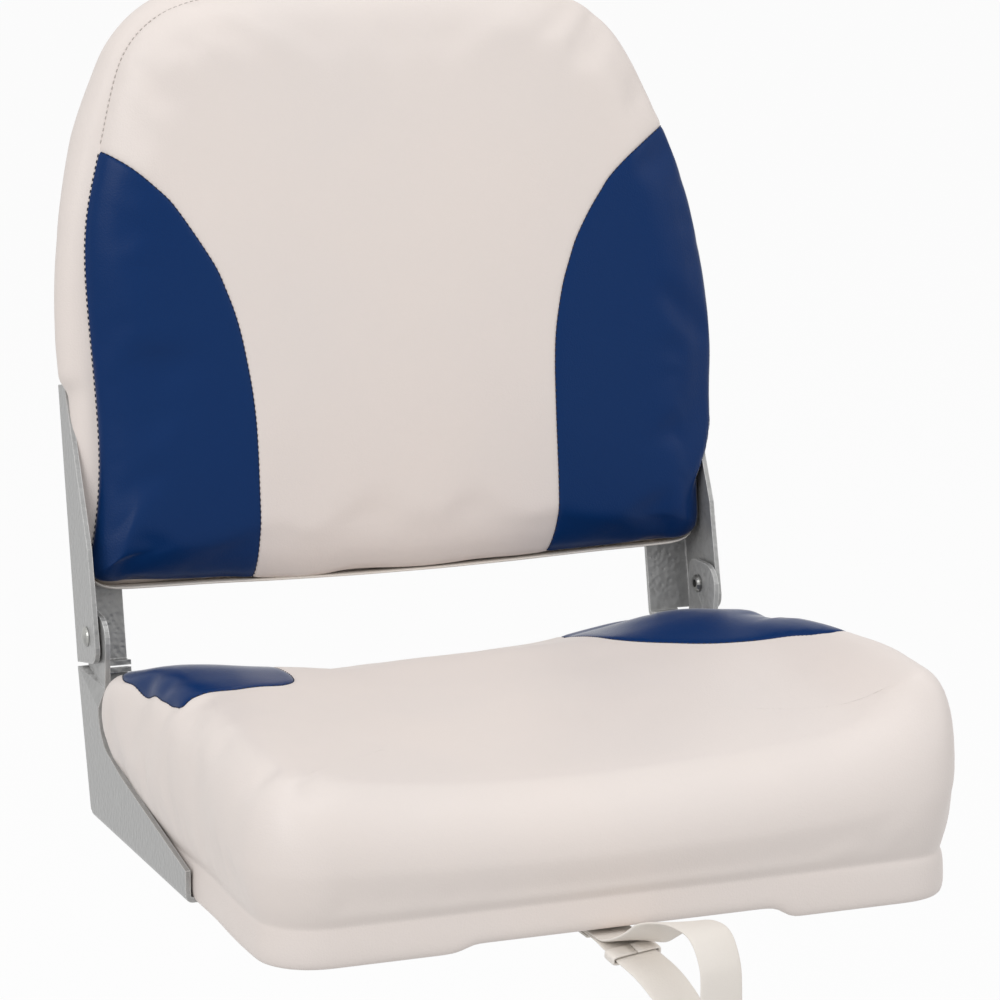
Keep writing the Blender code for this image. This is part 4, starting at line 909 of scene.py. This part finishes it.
def node(tree, kind, inputs=None, **settings):
    """Adds a node with its properties and with its inputs by name or number."""
    made = tree.nodes.new(kind)
    for key, value in settings.items():
        setattr(made, key, value)
    return feed(tree, made, inputs or {})


def ramp(tree, factor, low, high):
    """Share that rises from 0 to 1 between two values."""
    made = node(tree, "ShaderNodeValToRGB", {"Fac": factor})
    for element, place in zip(made.color_ramp.elements, (low, high)):
        element.position = place
    return made.outputs["Color"]


def noise(tree, scale, detail):
    """Soft noise fixed to the object."""
    place = node(tree, "ShaderNodeTexCoord").outputs["Object"]
    made = node(tree, "ShaderNodeTexNoise", {"Vector": place, "Scale": scale, "Detail": detail})
    return made.outputs["Fac"]


def pebbles(tree, scale, smoothness):
    """Distance from the middles of soft-edged cells fixed to the object."""
    place = node(tree, "ShaderNodeTexCoord").outputs["Object"]
    made = node(tree, "ShaderNodeTexVoronoi",
                {"Vector": place, "Scale": scale, "Smoothness": smoothness}, feature="SMOOTH_F1")
    return made.outputs["Distance"]


def bump(tree, strength, distance, height):
    """Normal raised and sunk by a height."""
    made = node(tree, "ShaderNodeBump",
                {"Strength": strength, "Distance": distance, "Height": height})
    return made.outputs["Normal"]


def build_finish(name, numbers, look):
    """Shader node group of a finish that varies over the surface between two tones.

    look(tree, given) gives the share of the second tone, the noise that the roughness
    follows and the normal; numbers are the names of its own inputs."""
    tree = bpy.data.node_groups.new(name, "ShaderNodeTree")
    sockets = [(label, "INPUT", "NodeSocketColor") for label in ("Tone", "Second Tone")]
    sockets += [(label, "INPUT", "NodeSocketFloat")
                for label in ("Low Roughness", "High Roughness", *numbers)]
    sockets += [("Color", "OUTPUT", "NodeSocketColor"), ("Roughness", "OUTPUT", "NodeSocketFloat"),
                ("Normal", "OUTPUT", "NodeSocketVector")]
    for label, way, kind in sockets:
        tree.interface.new_socket(name=label, in_out=way, socket_type=kind)
    given = tree.nodes.new("NodeGroupInput").outputs
    share, rub, normal = look(tree, given)
    tone = node(tree, "ShaderNodeMix", {0: share, 6: given["Tone"], 7: given["Second Tone"]},
                data_type="RGBA")
    sheen = node(tree, "ShaderNodeMapRange",
                 {"Value": rub, "From Min": 0.3, "From Max": 0.7,
                  "To Min": given["Low Roughness"], "To Max": given["High Roughness"]})
    feed(tree, tree.nodes.new("NodeGroupOutput"),
         {"Color": tone.outputs[2], "Roughness": sheen.outputs["Result"], "Normal": normal})
    return tree


def vinyl_grain(tree, given):
    """Marine vinyl: fine pebbled grain with pores, faint drift and slightly uneven sheen."""
    pores = node(tree, "ShaderNodeMath", {0: noise(tree, 1600.0, 2.0), 1: 0.35},
                 operation="MULTIPLY")
    grain = node(tree, "ShaderNodeMath", {0: pebbles(tree, 950.0, 0.6), 1: pores.outputs[0]},
                 operation="ADD")
    return (ramp(tree, noise(tree, 7.0, 3.0), 0.35, 0.65), noise(tree, 28.0, 4.0),
            bump(tree, 0.22, 0.0003, grain.outputs[0]))


def mottle(tree, given):
    """Mottled surface whose sheen follows the mottle, with a fine relief."""
    blotch = noise(tree, given["Mottle Scale"], 4.0)
    relief = noise(tree, given["Relief Scale"], 3.0)
    return (ramp(tree, blotch, 0.38, 0.62), blotch,
            bump(tree, given["Relief Strength"], given["Relief Height"], relief))


VINYL = build_finish("grained_vinyl", (), vinyl_grain)
MOTTLED = build_finish("mottled_finish", ("Mottle Scale", "Relief Scale", "Relief Height",
                                          "Relief Strength"), mottle)


def linear(red, green, blue):
    """Linear colour of a display colour."""
    parts = []
    for value in (red, green, blue):
        value /= 255
        parts.append(value / 12.92 if value <= 0.04045 else ((value + 0.055) / 1.055) ** 2.4)
    return (*parts, 1)


def new_look(name):
    """Material with its node tree and shader."""
    look = bpy.data.materials.new(name)
    look.use_nodes = True
    return look, look.node_tree, look.node_tree.nodes["Principled BSDF"]


def finished(name, group, tone, second, low, high, numbers):
    """Material from a finish's group, between two display colours and two roughnesses."""
    look, tree, shader = new_look(name)
    made = node(tree, "ShaderNodeGroup",
                {"Tone": linear(*tone), "Second Tone": linear(*second), "Low Roughness": low,
                 "High Roughness": high, **numbers}, node_tree=group)
    feed(tree, shader, {"Base Color": made.outputs["Color"], "Normal": made.outputs["Normal"],
                        "Roughness": made.outputs["Roughness"]})
    return look, tree, shader, made


def vinyl(name, tone, second, low, high, specular=0.5, sheen=0.0):
    """Grained vinyl."""
    look, _, shader, _ = finished(name, VINYL, tone, second, low, high, {})
    shader.inputs["Specular IOR Level"].default_value = specular
    shader.inputs["Sheen Weight"].default_value = sheen
    shader.inputs["Sheen Roughness"].default_value = 0.2
    return look


def painted_edge_highlight(tree, colour, edge):
    """Painted highlight: a paler tone on edges, where a rounded normal leaves the face's own."""
    rounded = node(tree, "ShaderNodeBevel", {"Radius": 1.1 * MM}, samples=4)
    flat = node(tree, "ShaderNodeNewGeometry")
    facing = node(tree, "ShaderNodeVectorMath",
                  {0: rounded.outputs["Normal"], 1: flat.outputs["Normal"]},
                  operation="DOT_PRODUCT")
    highlight_share = node(tree, "ShaderNodeMapRange",
                {"Value": facing.outputs["Value"], "From Min": 0.75, "From Max": 0.99,
                 "To Min": 0.9, "To Max": 0.0})
    mix = node(tree, "ShaderNodeMix", {0: highlight_share.outputs["Result"], 6: colour, 7: edge},
               data_type="RGBA")
    return mix.outputs[2]


def textured(name, tone, second, roughness, metallic, scale, relief_scale, relief_height,
             hammered=None, edge=None):
    """Mottled finish; hammered is the strength of a coarser relief, edge the tone of the painted
    highlight on edges.
    """
    look, tree, shader, made = finished(
        name, MOTTLED, tone, second, roughness * 0.85, min(1.0, roughness * 1.2),
        {"Mottle Scale": scale, "Relief Scale": relief_scale, "Relief Height": relief_height,
         "Relief Strength": 0.3})
    shader.inputs["Metallic"].default_value = metallic
    if hammered is not None:
        relief = pebbles(tree, relief_scale, 1.0)
        feed(tree, shader, {"Normal": bump(tree, hammered, relief_height, relief)})
    # Painted highlight: edges turn to the paler edge tone
    if edge is not None:
        colour = painted_edge_highlight(tree, made.outputs["Color"], linear(*edge))
        feed(tree, shader, {"Base Color": colour})
    return look


# Vinyls: two display colours, least and greatest roughness, specular level and sheen
WHITE_VINYL = vinyl("white_marine_vinyl", (229, 219, 213), (226, 217, 212), 0.42, 0.5, 0.35)
BLUE_VINYL = vinyl("navy_marine_vinyl", (8, 45, 95), (11, 46, 94), 0.3, 0.38, 0.12, 0.65)
STRAP_VINYL = vinyl("strap_vinyl", (234, 228, 221), (225, 218, 210), 0.42, 0.52)

# Other finishes: two display colours, roughness, metallic, scale of the mottle, scale and
# height of the relief
THREAD = (0.7, 0.0, 300.0, 2500.0, 0.0002)
PALE_THREAD = textured("pale_thread", (196, 190, 184), (184, 178, 172), *THREAD)
NAVY_THREAD = textured("navy_thread", (6, 16, 40), (12, 24, 52), *THREAD)
# Grey paint with a painted highlight in a paler tone along its edges
GREY_PAINT = textured("hammered_grey_paint", (156, 156, 155), (164, 164, 163), 0.33, 0.3, 90.0,
                      330.0, 0.0007, hammered=0.6, edge=(224, 224, 222))
ZINC = textured("zinc_steel", (150, 150, 148), (176, 176, 172), 0.34, 0.9, 120.0, 900.0, 0.0001)
BRASS = textured("insert_brass", (190, 158, 92), (168, 136, 76), 0.35, 1.0, 150.0, 1200.0,
                 0.0001)
PAN_PLASTIC = textured("pan_plastic", (196, 194, 188), (186, 184, 178), 0.55, 0.0, 40.0,
                       1500.0, 0.0002)
SHELL_PLASTIC = textured("shell_plastic", (226, 220, 212), (222, 216, 208), 0.5, 0.0, 30.0,
                         1300.0, 0.0002)
NYLON = textured("washer_nylon", (222, 220, 214), (206, 204, 198), 0.4, 0.0, 200.0, 1500.0,
                 0.0001)


def seat_held(place, ring):
    """The seat's cover is held at its crease, its hem and inside the brackets' plates."""
    across, along, up = place / MM
    return ring > 12.5 or (abs(across) > 188 and up < plate_edge(along) + 6)


def back_held(place, ring):
    """The backrest's front panel is held at its seam and inside the brackets' plates."""
    return ring > 6.5 or (abs(place[0]) > 186 * MM and place[2] < 265 * MM)


# Cushions
def make_cushion(prefix, skin, held, distance, body):
    """Plumps a skin, cuts its blue panels out, dresses the pieces and stitches their seams."""
    plump(skin, held)
    subdivide(skin)
    half, left = split_by_field(skin, distance(-1), prefix + "_half_cut",
                                prefix + "_insert_vinyl_left")
    white, right = split_by_field(half, distance(1), prefix + "_cover_skin",
                                  prefix + "_insert_vinyl_right")
    dress(white, WHITE_VINYL, body, "white_vinyl")
    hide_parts(prefix + "_cover", prefix + "_foam")
    for piece, word, side in ((left, "left", -1), (right, "right", 1)):
        dress(piece, BLUE_VINYL, body, "blue_vinyl")
        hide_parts(f"{prefix}_panel_{word}")
        for number, chain in enumerate(cut_chains(piece)):
            if len(chain) > PANEL_SHORTEST:
                stitch_row(f"{prefix}_stitches_{word}_{number}", chain, NAVY_THREAD, body,
                           "blue_vinyl", distance(side))


def make_seat():
    """Seat cushion with its panels and stitches."""
    make_cushion("seat", make_seat_skin(), seat_held, seat_insert_distance, "seat")


def make_back():
    """Backrest: cushion, stitches round its seam, moulded shell and side band."""
    make_cushion("back", make_back_front(), back_held, back_insert_distance, "backrest")
    stitch_round_back()
    shell = make_back_shell()
    subdivide(shell)
    dress(shell, SHELL_PLASTIC, "backrest", "shell_plastic")
    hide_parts("back_shell")
    band = make_back_band()
    subdivide(band)
    dress(band, WHITE_VINYL, "backrest", "white_vinyl")
    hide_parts("back_side_band")


def press_back_front():
    """Gives each piece of the backrest's soft front a mesh of its own."""
    fronts = ("back_cover_skin", "back_insert_vinyl", "back_stitches", "back_seam_stitches")
    for made in list(bpy.data.objects):
        if made.name.startswith(fronts):
            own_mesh(made)


# Strap under the front edge: across, forward and up in millimetres, and the yaw of its width
STRAP_ROUTE = (
    (-6, -135, 1.05, 0), (-6, -165.6, 0.9, 0), (-6, -176.4, 1.3, -5), (-5.2, -187, 4, -15),
    (-1.5, -195, 7.2, -22), (3, -203, 12.2, -24), (7, -213, 17.5, -18), (11, -229, 22.3, -5),
    (14, -244, 20.5, 6), (15.6, -254, 7, 10), (15, -257.4, -10, 8), (14.3, -257.6, -28, 7),
    (13.4, -253, -42, 6), (11.5, -243.5, -45, 5), (9.3, -235, -35, 4), (5.2, -224, -21, 3),
    (0.2, -210, -10.5, -2), (-4.0, -194, -5, -10), (-6, -179.1, -2, -8), (-6, -165.6, -0.77, 0),
    (-6, -135, -0.75, 0),
)
STRAP_STEPS = 110
STRAP_HALF = 13 * MM
STRAP_THICK = 1.9 * MM


def strap_frames():
    """Frames of (middle, side, out, ahead) along the strap's route."""
    route = np.array(STRAP_ROUTE, float)
    lengths = running_length(route[:, :3])
    rows = curve_through(lengths, route, np.linspace(0, lengths[-1], STRAP_STEPS))
    frames = []
    for index, (*middle, yaw) in enumerate(rows):
        ahead = rows[min(index + 1, STRAP_STEPS - 1), :3] - rows[max(index - 1, 0), :3]
        ahead = Vector(ahead).normalized()
        side = Vector((cos(radians(yaw)), sin(radians(yaw)), 0))
        out = side.cross(ahead).normalized()
        frames.append((Vector(middle) * MM, ahead.cross(out).normalized(), out, ahead))
    return frames


def rounded_place(turn, half, rise, powers):
    """Place round a squared oval, as (across, out); smaller powers make it squarer."""
    return (abs(cos(turn)) ** powers[0] * np.sign(cos(turn)) * half,
            abs(sin(turn)) ** powers[1] * np.sign(sin(turn)) * rise)


def band_section(half, thick, count=20):
    """Flat section with softly rounded edges, as (across, out) rows."""
    return [rounded_place(2 * pi * step / count, half, thick / 2, (0.35, 0.6))
            for step in range(count)]


def sweep(name, frames, section):
    """Closed tube of a section along frames of (middle, side, out, ahead)."""
    bm = bmesh.new()
    first = ring = circle_ring(bm, len(section))
    for number, (middle, side, out, _) in enumerate(frames):
        if number:
            ring = extrude_ring(bm, ring)
        for vertex, (across, lift) in zip(ring, section):
            vertex.co = middle + side * across + out * lift
    for loop in (first, ring):
        bmesh.ops.contextual_create(bm, geom=ring_edges(bm, loop))
    return new_object(name, bm)


# Keeper: the strap's step that it sits at, its own number of steps, half width and thickness,
# clearance round the strap's sides, rise over its middle and half the slit between its ends
KEEPER_PLACE = 91
KEEPER_STEPS = 81
KEEPER_HALF = 4.7 * MM
KEEPER_THICK = 1.5 * MM
KEEPER_CLEAR = 1.6 * MM
KEEPER_RISE = 2.4 * MM
KEEPER_SLIT = 0.45 * MM


def make_keeper(frame_there):
    """Short band wrapped round the strap, with its two ends meeting in the middle of a face."""
    middle, side, out, ahead = frame_there
    half = STRAP_HALF + KEEPER_CLEAR
    start = np.arcsin((KEEPER_SLIT / half) ** 2.5)
    places = []
    for turn in np.linspace(pi / 2 + start, 5 * pi / 2 - start, KEEPER_STEPS):
        across, lift = rounded_place(turn, half, KEEPER_RISE, (0.4, 0.4))
        places.append(middle + side * across + out * lift)
    rows = []
    for before, place, after in zip(places[:1] + places, places, places[1:] + places[-1:]):
        along = (after - before).normalized()
        rows.append((place, ahead, along.cross(ahead).normalized(), along))
    return sweep("strap_keeper_band", rows, band_section(KEEPER_HALF, KEEPER_THICK, 16))


def make_strap():
    """Strap with its keeper, hanging in a loop under the front edge."""
    frames = strap_frames()
    strap = sweep("strap_band", frames, band_section(STRAP_HALF, STRAP_THICK))
    subdivide(strap)
    dress(strap, STRAP_VINYL, "seat", "white_vinyl")
    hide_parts("strap")
    keeper = make_keeper(frames[KEEPER_PLACE])
    dress(keeper, STRAP_VINYL, "seat", "white_vinyl")
    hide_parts("strap_keeper")


def dress_solids():
    """Hard pieces keep their solids and take a finish."""
    looks = (
        ("lower_bracket", GREY_PAINT), ("upper_bracket", GREY_PAINT), ("pivot_rivet", ZINC),
        ("foot_screw", ZINC), ("back_screw", ZINC), ("strap_screw", ZINC),
        ("mount_insert", BRASS), ("seat_pan", PAN_PLASTIC),
        ("strap_clamp", SHELL_PLASTIC), ("spacer_washer", NYLON),
    )
    for name, solid in frame["nodes"].items():
        for start, look in looks:
            if name.startswith(start):
                for slot in solid.material_slots:
                    slot.material = look


# Stage, light and camera
FLOOR_HEIGHT = -0.36
FLOOR_HALF = 40


def shown_to(tree, kinds, plain, shown, target):
    """Rays of these kinds see one shader, and all others the plain one."""
    rays = node(tree, "ShaderNodeLightPath")
    seen = rays.outputs[kinds[0]]
    for kind in kinds[1:]:
        seen = node(tree, "ShaderNodeMath", {0: seen, 1: rays.outputs[kind]},
                    operation="MAXIMUM").outputs[0]
    mix = node(tree, "ShaderNodeMixShader", {0: seen, 1: plain.outputs[0], 2: shown.outputs[0]})
    tree.links.new(mix.outputs[0], tree.nodes[target].inputs["Surface"])


def make_stage():
    """Floor that takes the light, and that the camera sees as an even pale ground."""
    bm = bmesh.new()
    bmesh.ops.create_grid(bm, x_segments=8, y_segments=8, size=FLOOR_HALF)
    bmesh.ops.translate(bm, verts=bm.verts, vec=(0, 0, FLOOR_HEIGHT))
    floor = new_object("floor", bm)
    look, tree, shader = new_look("pale_floor")
    feed(tree, shader, {"Base Color": (0.64, 0.64, 0.64, 1), "Roughness": 0.9,
                        "Specular IOR Level": 0.0})
    glow = node(tree, "ShaderNodeEmission", {"Color": (1, 1, 1, 1), "Strength": 1.0})
    pale = node(tree, "ShaderNodeBsdfDiffuse", {"Color": (0.9, 0.9, 0.9, 1)})
    ground = node(tree, "ShaderNodeMixShader",
                  {0: 0.92, 1: pale.outputs[0], 2: glow.outputs[0]})
    shown_to(tree, ("Is Camera Ray", "Is Glossy Ray", "Is Transmission Ray"), shader, ground,
             "Material Output")
    floor.data.materials.append(look)


def into_scene(name, data):
    """Object in the scene for a lamp's or a camera's data."""
    made = bpy.data.objects.new(name, data)
    bpy.context.scene.collection.objects.link(made)
    return made


# Lamps: name, place, target, size and power
LAMPS = (
    ("key", (-2.4, -1.8, 1.9), (0, 0, 0.2), 1.8, 40),
    ("fill", (2.2, -1.8, 1.5), (0, 0, 0.2), 2.0, 13),
    ("top", (0.2, -0.5, 2.5), (0, 0.05, 0.1), 1.6, 11),
)


def make_light():
    """Even pale surroundings, seen as white, and three area lamps."""
    world = bpy.data.worlds.new("studio")
    bpy.context.scene.world = world
    world.use_nodes = True
    tree = world.node_tree
    soft = tree.nodes["Background"]
    feed(tree, soft, {"Color": (1, 1, 1, 1), "Strength": 0.64})
    white = node(tree, "ShaderNodeBackground", {"Color": (1, 1, 1, 1), "Strength": 1.0})
    shown_to(tree, ("Is Camera Ray", "Is Glossy Ray"), soft, white, "World Output")
    for name, place, target, size, power in LAMPS:
        data = bpy.data.lights.new(name, "AREA")
        data.size = size
        data.energy = power
        lamp = into_scene(name, data)
        lamp.location = place
        lamp.rotation_euler = (Vector(target) - lamp.location).to_track_quat("-Z", "Y").to_euler()


# Camera: turn about the object, rise over it and roll in degrees, its target and distance,
# and a lens for a sensor 36 mm wide
CAMERA_ANGLES = (-21.52, 10.836, -0.183)
CAMERA_TARGET = Vector((61.7, 174, 175)) * MM
CAMERA_DISTANCE = 2363.7 * MM
CAMERA_LENS = 136.915


def make_camera():
    """The photograph's view: fitted to the hinge plates, rivets and seams."""
    turn, rise, roll = (radians(angle) for angle in CAMERA_ANGLES)
    back = Vector((sin(turn) * cos(rise), -cos(turn) * cos(rise), sin(rise)))
    right = Vector((cos(turn), sin(turn), 0))
    up = back.cross(right)
    right, up = right * cos(roll) + up * sin(roll), up * cos(roll) - right * sin(roll)
    place = Matrix((right, up, back)).transposed().to_4x4()
    place.translation = CAMERA_TARGET + back * CAMERA_DISTANCE
    data = bpy.data.cameras.new("camera")
    data.sensor_width = 36
    data.lens = CAMERA_LENS
    data.clip_end = 100
    camera = into_scene("camera", data)
    camera.matrix_world = place
    bpy.context.scene.camera = camera


make_camera()
make_stage()
make_light()
bpy.context.scene.view_settings.view_transform = "Standard"
dress_solids()
make_seat()
make_back()
make_strap()
press_back_front()
